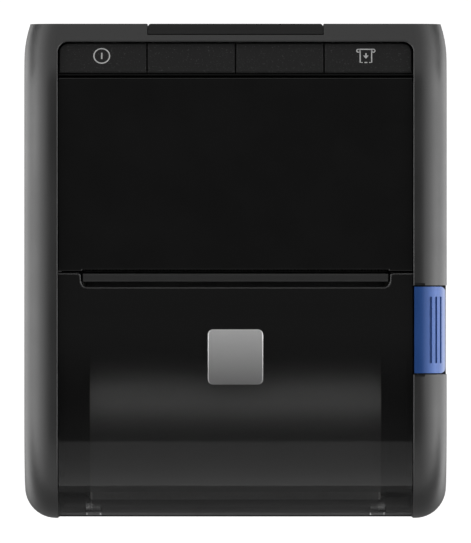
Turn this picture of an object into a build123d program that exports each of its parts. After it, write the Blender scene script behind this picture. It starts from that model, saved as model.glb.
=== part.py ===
from build123d import *
from math import acos, cos, pi, radians, sin, sqrt, tan
import os

# A portable label printer lying on its back, in millimetres.
# X runs across the printer, Y along it from the hinge end to the key end, Z out of its front face.
# The origin is on the table, under the middle of the casing.

# Media
MEDIA_W = 104.0
ROLL_D = 60.0
CORE_D = 25.4
CORE_BORE_D = 19.2

# Casing
LENGTH = 177.0
SIDE_ROOM = 11.5  # beside the media, for the carrier, hooks and gears
RAIL_W = 12.0
WALL = 2.5
RAIL_WALL = 2.0
RAIL_RIM_R = 0.35
EDGE_R = 11.0
BACK_R = 5.0
FOOT_STAND = 1.0
UNDER_TUB = 6.5  # below the media tub, for the holder racks
SLOPE = radians(22)
SLOPE_RUN = 18.5  # from the fold in the front face to the key end
FOLD_R = 25.0
TAPER = 13.0  # the last stretch of the sides, which draws in
TAPER_R = 41.0
BAND_W = 6.5
BAY_CORNER_R = 3.7
BAY_STEP = 1.5  # the bay's front face lies this far below the rails
SEAM = 0.3  # gap round pieces that move or lift out
RUN_FIT = 0.05  # radial clearance of a shaft in its bore

# Media cover and tub
ROLL_ROOM = 2.5
COVER_T = 2.5
TUB_T = 2.0
ARM_HALF = 6.0  # half the width of a roll holder's arm
ARM_ROOM = 0.8
COVER_TURN = 205.0  # the cover wraps the roll down to this angle
TUB_TURN = 219.0
HINGE_TURN = 212.0
HINGE_OUT = 1.9
HINGE_PIN_D = 3.0
BARREL_R = 3.2
KNUCKLE_MID = 15.2
KNUCKLE_IN = 42.4
KNUCKLE_OUT = 48.0
KNUCKLE_END = 54.2
CLIP_T = 0.8
CLIP_R = 0.8
APRON_UP = 0.6  # above the parting line
SKIRT_T = 1.5
SKIRT_DEPTH = 6.0
NOTCH_DEEP = 5.0
NOTCH_R = 1.8
RIM_R = 1.2
BADGE_W = 19.7
BADGE_T = 0.6
BADGE_R = 1.9
BADGE_EDGE = 0.25
BADGE_AHEAD = 21.5  # of the roll's axis

# Print line
PLATEN_D = 13.0
PLATEN_SHAFT_D = 5.0
PLATEN_AHEAD = 15.0
PLATEN_ROOM = 0.5  # between the platen and the underside of the cover
NIP = 0.2
EXIT_GAP = 0.5
TEAR_T = 0.5
TEAR_SINK = 1.0  # the roots of its teeth lie this far below the panel's face
TOOTH_H = 0.6
TOOTH_PITCH = 1.2
PLATE_T = 2.0
CARRIER_BEHIND = 9.5  # the platen's axis
BAR_BEHIND = (3.9, 0.9)  # the bar of the carrier, back from the tear bar
CHEEK_T = 1.2
FRAME_AHEAD = 13.5  # of the latch shaft
HOOK_T = 1.8
GEAR_T = 2.8
MODULE = 0.6
PLATEN_TEETH = 20
IDLER_TEETH = 36
PINION_TEETH = 14
PRESSURE = radians(25)
MOTOR_D = 25.0
MOTOR_LEN = 19.0

# Latch
LATCH_SHAFT_D = 4.0
LATCH_TRAVEL = 4.0
CRANK_R = 16.0
BUTTON_LEN = 30.9
BUTTON_FROM = 52.2  # from the hinge end
BUTTON_LOW = 50.0
BUTTON_SINK = 0.45  # below the rail's face
BUTTON_GAP = 0.45
BUTTON_CORNER_R = 2.0
BUTTON_WALL = 2.0
GROOVE_R = 0.55
GROOVE_IN = 3.6  # from the button's ends to its finger grooves
RECESS_W = 3.6
RECESS_LEN = 0.8
RECESS_DEEP = 1.0
RECESS_IN = 0.5  # from the rail's inner edge
SPRING_DOWN = 12.0  # from the button's lower edge to the seat of its spring
SPRING_WIRE = 0.6
SPRING_FIT = 0.2  # between the spring and its post
SPRING_ROOM = 0.15  # between the latch spring and the button's skirt

# Keys
KEY_T = 3.2
KEY_GAP = 0.4
KEY_TRAVEL = 1.0

# Battery, board and ports
BATTERY_W = 62.4
BATTERY_Z = 4.0
BATTERY_H = 43.5
BATTERY_FROM = 100.0
SHELL_T = 1.5
CELL_D = 18.4
CELL_LEN = 65.0
BOARD_T = 1.6
BOARD_BELOW = 11.4
PORT_FROM = 20.0  # from the board's edge to the middle of the port door
SENSOR_W = 12.0
SENSOR_LEN = 5.0
SENSOR_T = 3.5
SENSOR_UP = 4.5  # along the paper guide, from the tub to the middle of the sensor

# Mounting
AMPS_X = 38.1
AMPS_Y = 30.2
AMPS_FROM = 76.0  # from the hinge end to the middle of the four inserts
INSERT_BORE_R = 1.65
INSERT_R = 2.8
INSERT_LEN = 7.0
FOOT_D = 12.0
FOOT_IN = 20.0  # from the sides and ends to the middle of a foot
SCREW_R = 1.5

# Places worked out from the sizes above
BAY_HALF = MEDIA_W / 2 + SIDE_ROOM
HALF_W = BAY_HALF + RAIL_W
ROLL_R = ROLL_D / 2
SHELL_IN_R = ROLL_R + ROLL_ROOM
COVER_R = SHELL_IN_R + COVER_T
NOSE_R = COVER_R + BAY_STEP
TUB_R = SHELL_IN_R + TUB_T
BACK_Z = FOOT_STAND
FLOOR_Z = BACK_Z + WALL
ROLL_Z = FLOOR_Z + UNDER_TUB + TUB_R
FRONT_Z = ROLL_Z + NOSE_R
BAY_Z = ROLL_Z + COVER_R
UNDER_Z = BAY_Z - COVER_T
HINGE_END = -LENGTH / 2
KEY_END = LENGTH / 2
ROLL_Y = HINGE_END + NOSE_R
FOLD_Y = KEY_END - SLOPE_RUN
BAY_END = KEY_END - BAND_W
HINGE_Y = ROLL_Y + (COVER_R + HINGE_OUT) * cos(radians(HINGE_TURN))
HINGE_Z = ROLL_Z + (COVER_R + HINGE_OUT) * sin(radians(HINGE_TURN))
SPLIT_Z = HINGE_Z - 5.0
PLATEN_R = PLATEN_D / 2
PLATEN_Y = ROLL_Y + ROLL_R + PLATEN_AHEAD
PLATEN_Z = UNDER_Z - PLATEN_ROOM - PLATEN_R
PRINT_Y = PLATEN_Y + PLATEN_R + NIP
TEAR_Y = PRINT_Y + EXIT_GAP
COVER_END = TEAR_Y - 0.4
BAR_Y = (TEAR_Y - BAR_BEHIND[0], TEAR_Y - BAR_BEHIND[1])
TEAR_ROOT_Z = BAY_Z - TEAR_SINK
NOTCH_HALF = MEDIA_W / 2 + 2.7
TEAR_HALF = NOTCH_HALF - 0.2
COVER_HALF = BAY_HALF - SEAM
PANEL_END = FOLD_Y - 0.9
CARRIER_IN = MEDIA_W / 2 + 2.3
CARRIER_OUT = CARRIER_IN + PLATE_T
CHEEK_IN = MEDIA_W / 2 + 3.0
CHEEK_OUT = CHEEK_IN + CHEEK_T
HOOK_IN = CARRIER_OUT + 0.6
HOOK_OUT = HOOK_IN + HOOK_T
GEAR_IN = HOOK_OUT + 0.5
GEAR_OUT = GEAR_IN + GEAR_T
LATCH_Y = PRINT_Y + 10.3
LATCH_Z = PLATEN_Z - 10.0
FRAME_END = LATCH_Y + FRAME_AHEAD
BUTTON_Y = HINGE_END + BUTTON_FROM
BUTTON_END = BUTTON_Y + BUTTON_LEN
POST_X = BAY_HALF + RAIL_W / 2 - 0.25
SPRING_SEAT_Z = BUTTON_LOW - SPRING_DOWN
POST_R = 4.0
AMPS_MID_Y = HINGE_END + AMPS_FROM
POST_TOP = SPLIT_Z + 14.0
SCREW_PLACES = [
    (side * POST_X, y)
    for side in (-1, 1)
    for y in (HINGE_END + 12.0, HINGE_END + 88.0, KEY_END - 12.0)
]


# Shapes that several pieces share
def block(x_span, y_span, z_span, mode=Mode.ADD):
    """A box between two values on each axis."""
    spans = (x_span, y_span, z_span)
    with Locations(tuple(sum(span) / 2 for span in spans)):
        Box(*(span[1] - span[0] for span in spans), mode=mode)


def rod_x(y, z, radius, x_span, mode=Mode.ADD):
    """A cylinder lying along X."""
    with Locations((sum(x_span) / 2, y, z)):
        Cylinder(radius, x_span[1] - x_span[0], rotation=(0, 90, 0), mode=mode)


def rod_z(x, y, radius, z_span, mode=Mode.ADD):
    """A cylinder standing along Z."""
    with Locations((x, y, sum(z_span) / 2)):
        Cylinder(radius, z_span[1] - z_span[0], mode=mode)


def prism_x(corners, x_span, mode=Mode.ADD):
    """A prism along X whose corners are given as (y, z)."""
    with BuildSketch(Plane.YZ.offset(x_span[0])) as profile:
        with BuildLine():
            Polyline(*corners, close=True)
        make_face()
    extrude(profile.sketch, amount=x_span[1] - x_span[0], mode=mode)


def around_roll(radius, angle):
    """The (y, z) point at a radius and an angle about the roll's axis."""
    return (
        ROLL_Y + radius * cos(radians(angle)),
        ROLL_Z + radius * sin(radians(angle)),
    )


def both_sides(inner, outer):
    """The same span of X on the left and on the right."""
    return ((-outer, -inner), (inner, outer))


def outer_form(inset):
    """The outside form of the whole printer, moved in by inset on every side."""
    low = HINGE_END + inset
    high = KEY_END - inset
    base = BACK_Z + inset
    roof = FRONT_Z - inset
    half = HALF_W - inset
    fold = FOLD_Y - inset * tan(SLOPE / 2)
    taper_y = KEY_END - TAPER

    def taper_x(y):
        return HALF_W - TAPER_R + sqrt((TAPER_R - inset) ** 2 - (y - taper_y) ** 2)

    middle = (taper_y + high) / 2
    with BuildPart() as form:
        with BuildSketch(Plane.YZ) as side:
            with BuildLine():
                Line((low, base), (low, ROLL_Z))
                CenterArc((ROLL_Y, ROLL_Z), NOSE_R - inset, 90, 90)
                Polyline(
                    (ROLL_Y, roof),
                    (fold, roof),
                    (high, roof - (high - fold) * tan(SLOPE)),
                    (high, base),
                    (low, base),
                )
            make_face()
            fillet(side.vertices().sort_by_distance((fold, roof))[0], FOLD_R - inset)
        extrude(amount=half, both=True)
        with BuildSketch(Plane.XY):
            with BuildLine():
                Polyline((-half, taper_y), (-half, low), (half, low), (half, taper_y))
                ThreePointArc((half, taper_y), (taper_x(middle), middle), (taper_x(high), high))
                Line((taper_x(high), high), (-taper_x(high), high))
                ThreePointArc((-taper_x(high), high), (-taper_x(middle), middle), (-half, taper_y))
            make_face()
        extrude(amount=FRONT_Z + 1, mode=Mode.INTERSECT)
        long_edges = form.edges().filter_by(
            lambda edge: abs(edge.center().X) > HALF_W - 6
            and edge.center().Z > base + 0.1
            and edge.center().Y < high - 0.01
        )
        fillet(long_edges, EDGE_R - inset)
        back_edges = form.edges().filter_by(lambda edge: abs(edge.center().Z - base) < 0.01)
        fillet(back_edges, BACK_R - inset)
    return form.part


OUTSIDE = outer_form(0)
INSIDE = outer_form(WALL)


def slope_plane(depth=0.0):
    """The plane of the sloped key strip, moved in by depth, with its origin at the fold."""
    y = FOLD_Y - BAY_STEP * tan(SLOPE / 2)
    normal = Vector(0, sin(SLOPE), cos(SLOPE))
    return Plane(origin=Vector(0, y, BAY_Z) - normal * depth, x_dir=(1, 0, 0), z_dir=normal)


def on_slope(x_span, run_span, depth_span, mode=Mode.ADD):
    """A box on the sloped strip: across, along the slope, and how deep below its face."""
    with BuildSketch(slope_plane(depth_span[1])) as face:
        with Locations((sum(x_span) / 2, sum(run_span) / 2)):
            Rectangle(x_span[1] - x_span[0], run_span[1] - run_span[0])
    extrude(face.sketch, amount=depth_span[1] - depth_span[0], mode=mode)


def gear_outline(teeth, module, phase):
    """The corners of an involute gear, with one tooth centred at the angle phase."""
    pitch_r = teeth * module / 2
    base_r = pitch_r * cos(PRESSURE)
    root_r = pitch_r - 1.1 * module
    tip_r = pitch_r + 0.8 * module
    tooth_w = pi * module / 2 - 0.24 * module

    def half_angle(radius):
        turn = acos(min(1.0, base_r / radius))
        return tooth_w / (2 * pitch_r) + (tan(PRESSURE) - PRESSURE) - (tan(turn) - turn)

    first_r = max(base_r, root_r)
    radii = [first_r + (tip_r - first_r) * step / 4 for step in range(5)]
    flank = [(radius, half_angle(radius)) for radius in radii]
    if root_r < first_r:
        flank.insert(0, (root_r, half_angle(first_r)))
    corners = []
    for tooth in range(teeth):
        middle = phase + 2 * pi * tooth / teeth
        for radius, half in flank:
            corners.append((radius * cos(middle - half), radius * sin(middle - half)))
        for radius, half in reversed(flank):
            corners.append((radius * cos(middle + half), radius * sin(middle + half)))
    return corners


def gear_x(y, z, teeth, phase, x_span):
    """A gear turning about an axis along X, its phase counted from Y towards Z."""
    corners = [(y + dy, z + dz) for dy, dz in gear_outline(teeth, MODULE, phase)]
    prism_x(corners, x_span)


def save(part, label):
    """Name a finished piece and write it to its own file."""
    part.label = label
    export_step(part, f"parts/{label}.step")


os.makedirs("parts", exist_ok=True)

# Battery places
SLEEVE_IN = BATTERY_W / 2 + 1.0
SLEEVE_OUT = SLEEVE_IN + 2.0
SLEEVE_TOP = BATTERY_Z + BATTERY_H + 3.0
BATTERY_Y = HINGE_END + BATTERY_FROM
CAP_Y = KEY_END - 3.7
CAP_HALF = BATTERY_W / 2
NOTCH_X = CAP_HALF + SEAM

# Board and port places
BOARD_Z = UNDER_Z - BOARD_BELOW - BOARD_T
BOARD_Y = (FRAME_END, FOLD_Y + 1.5)
BOARD_HALF = BAY_HALF - 8.5
PORT_Y = BOARD_Y[0] + PORT_FROM
DOOR_Y = (PORT_Y - 14.0, PORT_Y + 14.0)
DOOR_Z = (BOARD_Z - 12.0, BOARD_Z + 1.6)
DOOR_T = 2.0
DOOR_X = -HALF_W + 0.1
DOOR_AXIS_X = DOOR_X + DOOR_T / 2
DOOR_AXIS_Z = DOOR_Z[1] - DOOR_T / 2
STUB_R = 0.6
PORT_X = (DOOR_X + DOOR_T + 0.4, -BAY_HALF - 2.0)

# Gear train: the platen gear lifts straight off the idler as the cover opens
LIFT_LEN = sqrt((PLATEN_Y - HINGE_Y) ** 2 + (PLATEN_Z - HINGE_Z) ** 2)
LIFT_TURN = acos((HINGE_Z - PLATEN_Z) / LIFT_LEN)
IDLER_REACH = MODULE * (PLATEN_TEETH + IDLER_TEETH) / 2
IDLER_Y = PLATEN_Y - IDLER_REACH * cos(LIFT_TURN)
IDLER_Z = PLATEN_Z - IDLER_REACH * sin(LIFT_TURN)
PINION_REACH = MODULE * (PINION_TEETH + IDLER_TEETH) / 2
PINION_TURN = radians(-50)
PINION_Y = IDLER_Y + PINION_REACH * cos(PINION_TURN)
PINION_Z = IDLER_Z + PINION_REACH * sin(PINION_TURN)
STUD_R = 1.5

# Front housing: the grey side rails and the band across the key end
with BuildPart() as rail_hollow:
    add(INSIDE)
    for span in both_sides(BAY_HALF, BAY_HALF + RAIL_WALL):
        block(span, (HINGE_END, BAY_END + 2), (0, FRONT_Z), mode=Mode.SUBTRACT)

with BuildPart() as front_housing:
    add(OUTSIDE)
    add(rail_hollow.part, mode=Mode.SUBTRACT)
    with BuildSketch(Plane.XY.offset(SPLIT_Z)) as bay:
        with BuildLine():
            Polyline(
                (-BAY_HALF, HINGE_END - 1),
                (BAY_HALF, HINGE_END - 1),
                (BAY_HALF, BAY_END),
                (-BAY_HALF, BAY_END),
                close=True,
            )
        make_face()
        fillet(bay.vertices().group_by(Axis.Y)[-1], BAY_CORNER_R)
    extrude(amount=FRONT_Z, mode=Mode.SUBTRACT)
    # the rails' edges along the bay are broken
    fillet(
        front_housing.edges().filter_by(
            lambda edge: abs(abs(edge.center().X) - BAY_HALF) < 0.01
            and abs(edge.center().Z - FRONT_Z) < 0.01
        ),
        RAIL_RIM_R,
    )
    block((-HALF_W, HALF_W), (HINGE_END, KEY_END), (0, SPLIT_Z), mode=Mode.SUBTRACT)
    for x, y in SCREW_PLACES:
        rod_z(x, y, POST_R, (SPLIT_Z, POST_TOP))
    for span in both_sides(BAY_HALF - 2, BAY_HALF):
        block(span, (LATCH_Y + 5, PANEL_END - 2), (UNDER_Z - 2, UNDER_Z))
    for x, y in SCREW_PLACES:
        rod_z(x, y, SCREW_R, (SPLIT_Z - 1, POST_TOP - 3), mode=Mode.SUBTRACT)
    # notch for the battery's end cap
    block((-NOTCH_X, NOTCH_X), (CAP_Y - SEAM, KEY_END + 1), (0, FRONT_Z), mode=Mode.SUBTRACT)
    # slot for the latch button, ledge for its spring and hole for the latch shaft
    block(
        (BAY_HALF - 1, HALF_W + 1),
        (BUTTON_Y - BUTTON_GAP, BUTTON_END + BUTTON_GAP),
        (BUTTON_LOW - LATCH_TRAVEL - SEAM, FRONT_Z + 1),
        mode=Mode.SUBTRACT,
    )
    # the two shallow recesses beside the slot, above and below the button
    recess_x = BAY_HALF + RECESS_IN
    for edge in (BUTTON_Y - BUTTON_GAP - RECESS_LEN, BUTTON_END + BUTTON_GAP):
        block(
            (recess_x, recess_x + RECESS_W),
            (edge, edge + RECESS_LEN),
            (FRONT_Z - RECESS_DEEP, FRONT_Z + 1),
            mode=Mode.SUBTRACT,
        )
    block(
        (BAY_HALF + RAIL_WALL, HALF_W - WALL),
        (BUTTON_Y + 8, BUTTON_END - 8),
        (SPRING_SEAT_Z - 2, SPRING_SEAT_Z),
    )
    rod_x(LATCH_Y, LATCH_Z, LATCH_SHAFT_D / 2 + SEAM, (BAY_HALF - 1, BAY_HALF + 3), mode=Mode.SUBTRACT)
    # seat of the idler's stud
    rod_x(IDLER_Y, IDLER_Z, STUD_R, (-BAY_HALF - 3, -BAY_HALF + 1), mode=Mode.SUBTRACT)
    # ports: the door's opening with its two stub sockets, and the way through the inner wall
    block(
        (-HALF_W - 1, -HALF_W + WALL + 1),
        (DOOR_Y[0] - SEAM, DOOR_Y[1] + SEAM),
        (DOOR_Z[0] - SEAM, DOOR_Z[1] + SEAM),
        mode=Mode.SUBTRACT,
    )
    with Locations((DOOR_AXIS_X, PORT_Y, DOOR_AXIS_Z)):
        Cylinder(
            STUB_R + 0.15,
            DOOR_Y[1] - DOOR_Y[0] + 3.2,
            rotation=(90, 0, 0),
            mode=Mode.SUBTRACT,
        )
    block(
        (-BAY_HALF - 3, -BAY_HALF + 1),
        (DOOR_Y[0], DOOR_Y[1]),
        (DOOR_Z[0] - 0.5, BOARD_Z + BOARD_T + SEAM),
        mode=Mode.SUBTRACT,
    )
save(front_housing.part, "front_housing")

# Back case: the shallow shell below the parting line
with BuildPart() as back_case:
    add(OUTSIDE)
    add(INSIDE, mode=Mode.SUBTRACT)
    block((-HALF_W, HALF_W), (HINGE_END, KEY_END), (SPLIT_Z, FRONT_Z + 1), mode=Mode.SUBTRACT)
    block((-BAY_HALF, BAY_HALF), (HINGE_END - 1, HINGE_END + 8), (SPLIT_Z - 8, SPLIT_Z), mode=Mode.SUBTRACT)
    for x, y in SCREW_PLACES:
        rod_z(x, y, POST_R, (BACK_Z + 2, SPLIT_Z))
    for x in (-AMPS_X / 2, AMPS_X / 2):
        for y in (-AMPS_Y / 2, AMPS_Y / 2):
            rod_z(x, AMPS_MID_Y + y, INSERT_R + 1.7, (FLOOR_Z, BACK_Z + INSERT_LEN))
    rod_z(0, ROLL_Y, 2.5, (FLOOR_Z, FLOOR_Z + 5.9))
    for x, y in SCREW_PLACES:
        rod_z(x, y, SCREW_R + 0.2, (0, SPLIT_Z + 1), mode=Mode.SUBTRACT)
        rod_z(x, y, SCREW_R * 2 + 0.2, (0, BACK_Z + 6), mode=Mode.SUBTRACT)
    for x in (-AMPS_X / 2, AMPS_X / 2):
        for y in (-AMPS_Y / 2, AMPS_Y / 2):
            rod_z(x, AMPS_MID_Y + y, INSERT_R, (0, BACK_Z + INSERT_LEN + 1), mode=Mode.SUBTRACT)
    for x in (-HALF_W + FOOT_IN, HALF_W - FOOT_IN):
        for y in (HINGE_END + FOOT_IN, KEY_END - FOOT_IN):
            rod_z(x, y, FOOT_D / 2, (0, BACK_Z + 1), mode=Mode.SUBTRACT)
    block((-NOTCH_X, NOTCH_X), (CAP_Y - SEAM, KEY_END + 1), (0, FRONT_Z), mode=Mode.SUBTRACT)
save(back_case.part, "back_case")

with BuildPart() as rubber_feet:
    for x in (-HALF_W + FOOT_IN, HALF_W - FOOT_IN):
        for y in (HINGE_END + FOOT_IN, KEY_END - FOOT_IN):
            rod_z(x, y, FOOT_D / 2, (0, BACK_Z + 1))
    fillet(rubber_feet.edges().group_by(Axis.Z)[0], 0.5)
save(rubber_feet.part, "rubber_feet")

with BuildPart() as accessory_inserts:
    for x in (-AMPS_X / 2, AMPS_X / 2):
        for y in (-AMPS_Y / 2, AMPS_Y / 2):
            rod_z(x, AMPS_MID_Y + y, INSERT_R, (BACK_Z, BACK_Z + INSERT_LEN))
            rod_z(x, AMPS_MID_Y + y, INSERT_BORE_R, (0, BACK_Z + INSERT_LEN + 1), mode=Mode.SUBTRACT)
save(accessory_inserts.part, "accessory_inserts")

with BuildPart() as case_screws:
    for x, y in SCREW_PLACES:
        rod_z(x, y, SCREW_R * 2, (BACK_Z + 3, BACK_Z + 6))
        rod_z(x, y, SCREW_R, (BACK_Z + 6, POST_TOP - 4))
    for x, y in SCREW_PLACES:
        with BuildSketch(Plane.XY.offset(BACK_Z + 3)) as recess:
            with Locations((x, y)):
                RegularPolygon(1.3, 6)
        extrude(recess.sketch, amount=1.6, mode=Mode.SUBTRACT)
save(case_screws.part, "case_screws")

# Media tub: the trough below the roll, its end walls, the hinge apron and the paper guide
TUB_START = around_roll(TUB_R, TUB_TURN)
GUIDE_TOP = (PLATEN_Y + 0.5, PLATEN_Z - 9.6)
GUIDE_FOOT = (GUIDE_TOP[0] + 1.5, GUIDE_TOP[1] - 1.4)
with BuildPart() as media_tub:
    with BuildSketch(Plane.YZ.offset(-BAY_HALF)) as trough:
        with BuildLine():
            CenterArc((ROLL_Y, ROLL_Z), TUB_R, TUB_TURN, 360 - TUB_TURN)
            CenterArc((ROLL_Y, ROLL_Z), SHELL_IN_R, TUB_TURN, 360 - TUB_TURN)
            Line(around_roll(SHELL_IN_R, TUB_TURN), TUB_START)
            Line(around_roll(SHELL_IN_R, 360), around_roll(TUB_R, 360))
        make_face()
    extrude(amount=2 * BAY_HALF)
    guide = [
        around_roll(SHELL_IN_R, 360),
        around_roll(TUB_R, 360),
        GUIDE_FOOT,
        GUIDE_TOP,
    ]
    prism_x(guide, (-CARRIER_IN + 0.5, CARRIER_IN - 0.5))
    apron = (HINGE_END + 0.7, HINGE_END + 2.7)
    shelf_z = (SPLIT_Z - 8, SPLIT_Z - 6)
    block((-BAY_HALF, BAY_HALF), apron, (shelf_z[0], SPLIT_Z + APRON_UP))
    block((-BAY_HALF, BAY_HALF), (apron[0], ROLL_Y - 15.5), shelf_z)
    for span in both_sides(BAY_HALF - 2, BAY_HALF):
        block(span, (ROLL_Y - 22, ROLL_Y + 22), (FLOOR_Z, SPLIT_Z + 4))
    for span in both_sides(KNUCKLE_MID + SEAM, KNUCKLE_IN - SEAM) + both_sides(KNUCKLE_END, BAY_HALF):
        rod_x(HINGE_Y, HINGE_Z, BARREL_R, span)
        web = [
            (HINGE_Y, HINGE_Z - BARREL_R),
            TUB_START,
            around_roll(SHELL_IN_R, TUB_TURN),
            (HINGE_Y, HINGE_Z + BARREL_R),
        ]
        prism_x(web, span)
    rod_x(HINGE_Y, HINGE_Z, HINGE_PIN_D / 2, (-BAY_HALF + 1, BAY_HALF - 1), mode=Mode.SUBTRACT)
    # slots for the arms of the roll holders
    for span in both_sides(MEDIA_W / 2 - 0.5, BAY_HALF - 2.5):
        block(span, (ROLL_Y - ARM_HALF - ARM_ROOM, ROLL_Y + ARM_HALF + ARM_ROOM), (0, ROLL_Z - 20), mode=Mode.SUBTRACT)
save(media_tub.part, "media_tub")

with BuildPart() as hinge_pin:
    rod_x(HINGE_Y, HINGE_Z, HINGE_PIN_D / 2, (-BAY_HALF + 1, BAY_HALF - 1))
save(hinge_pin.part, "hinge_pin")

with BuildPart() as hinge_springs:
    for span in both_sides(KNUCKLE_OUT + SEAM, KNUCKLE_END):
        rod_x(HINGE_Y, HINGE_Z, BARREL_R - 0.2, span)
        rod_x(HINGE_Y, HINGE_Z, HINGE_PIN_D / 2 + 0.3, span, mode=Mode.SUBTRACT)
save(hinge_springs.part, "hinge_springs")

# Clips that hold the hinge pin, standing on the apron beside the outer knuckles
with BuildPart() as hinge_clips:
    for span in both_sides(KNUCKLE_OUT + SEAM, KNUCKLE_END - SEAM):
        block(
            span,
            (HINGE_Y - BARREL_R - SEAM - CLIP_T, HINGE_Y - BARREL_R - SEAM),
            (SPLIT_Z + APRON_UP, HINGE_Z + 0.5),
        )
    fillet(hinge_clips.edges().filter_by(Axis.Y).group_by(Axis.Z)[-1], CLIP_R)
save(hinge_clips.part, "hinge_clips")

# Media cover: the smoked window that wraps the roll, with its hinge knuckles
with BuildPart() as media_cover:
    with BuildSketch(Plane.YZ.offset(-COVER_HALF)) as shell:
        with BuildLine():
            CenterArc((ROLL_Y, ROLL_Z), COVER_R, 90, COVER_TURN - 90)
            CenterArc((ROLL_Y, ROLL_Z), SHELL_IN_R, 90, COVER_TURN - 90)
            Line(around_roll(SHELL_IN_R, COVER_TURN), around_roll(COVER_R, COVER_TURN))
            Polyline((ROLL_Y, BAY_Z), (COVER_END, BAY_Z), (COVER_END, UNDER_Z), (ROLL_Y, UNDER_Z))
        make_face()
    extrude(amount=2 * COVER_HALF)
    block(
        (-NOTCH_HALF, NOTCH_HALF),
        (COVER_END - NOTCH_DEEP, COVER_END + 1),
        (UNDER_Z - 1, BAY_Z + 1),
        mode=Mode.SUBTRACT,
    )
    end_span = (COVER_END - NOTCH_DEEP - 0.1, COVER_END + 0.1)
    corners = media_cover.edges().filter_by(Axis.Z).filter_by_position(Axis.Y, *end_span)
    fillet(corners.filter_by_position(Axis.X, -NOTCH_HALF - 0.1, NOTCH_HALF + 0.1), NOTCH_R)
    rims = media_cover.edges().group_by(Axis.Z)[-1].filter_by_position(Axis.Y, *end_span)
    fillet(rims, RIM_R)
    for span in both_sides(COVER_HALF - SKIRT_T, COVER_HALF):
        with BuildSketch(Plane.YZ.offset(span[0])) as skirt:
            with BuildLine():
                CenterArc((ROLL_Y, ROLL_Z), SHELL_IN_R, 90, COVER_TURN - 90)
                CenterArc((ROLL_Y, ROLL_Z), SHELL_IN_R - SKIRT_DEPTH, 90, COVER_TURN - 90)
                Line(
                    around_roll(SHELL_IN_R - SKIRT_DEPTH, COVER_TURN),
                    around_roll(SHELL_IN_R, COVER_TURN),
                )
                Polyline(
                    (ROLL_Y, UNDER_Z),
                    (ROLL_Y + ROLL_R, UNDER_Z),
                    (ROLL_Y + ROLL_R, UNDER_Z - SKIRT_DEPTH),
                    (ROLL_Y, UNDER_Z - SKIRT_DEPTH),
                )
            make_face()
        extrude(amount=SKIRT_T)
    knuckles = both_sides(KNUCKLE_IN, KNUCKLE_OUT) + ((-KNUCKLE_MID, KNUCKLE_MID),)
    for span in knuckles:
        rod_x(HINGE_Y, HINGE_Z, BARREL_R, span)
        arm = [
            around_roll(COVER_R, COVER_TURN),
            around_roll(SHELL_IN_R, COVER_TURN),
            (HINGE_Y + BARREL_R, HINGE_Z),
            (HINGE_Y - BARREL_R, HINGE_Z),
        ]
        prism_x(arm, span)
    rod_x(HINGE_Y, HINGE_Z, HINGE_PIN_D / 2 + RUN_FIT, (-BAY_HALF, BAY_HALF), mode=Mode.SUBTRACT)
save(media_cover.part, "media_cover")

with BuildPart() as cover_badge:
    with BuildSketch(Plane.XY.offset(BAY_Z)):
        with Locations((0, ROLL_Y + BADGE_AHEAD)):
            RectangleRounded(BADGE_W, BADGE_W, BADGE_R)
    extrude(amount=BADGE_T)
    chamfer(cover_badge.edges().group_by(Axis.Z)[-1], BADGE_EDGE)
save(cover_badge.part, "cover_badge")

# Platen carrier: fixed under the cover, it holds the platen in two bushings
with BuildPart() as platen_carrier:
    cheek = [
        (PLATEN_Y - CARRIER_BEHIND, UNDER_Z),
        (BAR_Y[1], UNDER_Z),
        (BAR_Y[1], PLATEN_Z),
        (PLATEN_Y + 3.5, PLATEN_Z - 5.2),
        (PLATEN_Y - 3.5, PLATEN_Z - 5.2),
        (PLATEN_Y - CARRIER_BEHIND, PLATEN_Z + 2),
    ]
    for span in both_sides(CARRIER_IN, CARRIER_OUT):
        prism_x(cheek, span)
    block((-CARRIER_OUT, CARRIER_OUT), (PLATEN_Y - CARRIER_BEHIND, PLATEN_Y - 4.4), (UNDER_Z - 1.5, UNDER_Z))
    block(
        (-CARRIER_OUT, CARRIER_OUT),
        BAR_Y,
        (PLATEN_Z + PLATEN_R - 0.4, UNDER_Z),
    )
    block((-NOTCH_HALF + SEAM, NOTCH_HALF - SEAM), BAR_Y, (UNDER_Z - 0.5, BAY_Z + 0.3))
    fillet(platen_carrier.edges().filter_by(Axis.X).group_by(Axis.Z)[-1], 0.8)
    for span in both_sides(CARRIER_IN - 1, CARRIER_OUT + 1):
        rod_x(PLATEN_Y, PLATEN_Z, 4.0, span, mode=Mode.SUBTRACT)
    rod_x(PLATEN_Y, PLATEN_Z, PLATEN_R + 0.3, (-CARRIER_IN, CARRIER_IN), mode=Mode.SUBTRACT)
save(platen_carrier.part, "platen_carrier")

with BuildPart() as platen_bushings:
    for side in (-1, 1):
        span = sorted((side * (CARRIER_IN - 1.0), side * CARRIER_OUT))
        collar = sorted((side * (CARRIER_IN - 1.0), side * CARRIER_IN))
        rod_x(PLATEN_Y, PLATEN_Z, 4.0, span)
        rod_x(PLATEN_Y, PLATEN_Z, 5.0, collar)
        rod_x(PLATEN_Y, PLATEN_Z, PLATEN_SHAFT_D / 2 + RUN_FIT, span, mode=Mode.SUBTRACT)
save(platen_bushings.part, "platen_bushings")

with BuildPart() as platen_shaft:
    rod_x(PLATEN_Y, PLATEN_Z, PLATEN_SHAFT_D / 2, (-GEAR_OUT - 0.3, HOOK_OUT + 0.6))
    chamfer(platen_shaft.edges(), 0.4)
save(platen_shaft.part, "platen_shaft")

with BuildPart() as platen_rubber:
    rod_x(PLATEN_Y, PLATEN_Z, PLATEN_R, (-MEDIA_W / 2 - 1, MEDIA_W / 2 + 1))
    rod_x(
        PLATEN_Y, PLATEN_Z, PLATEN_SHAFT_D / 2, (-MEDIA_W / 2 - 1, MEDIA_W / 2 + 1), mode=Mode.SUBTRACT
    )
save(platen_rubber.part, "platen_rubber")

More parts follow.
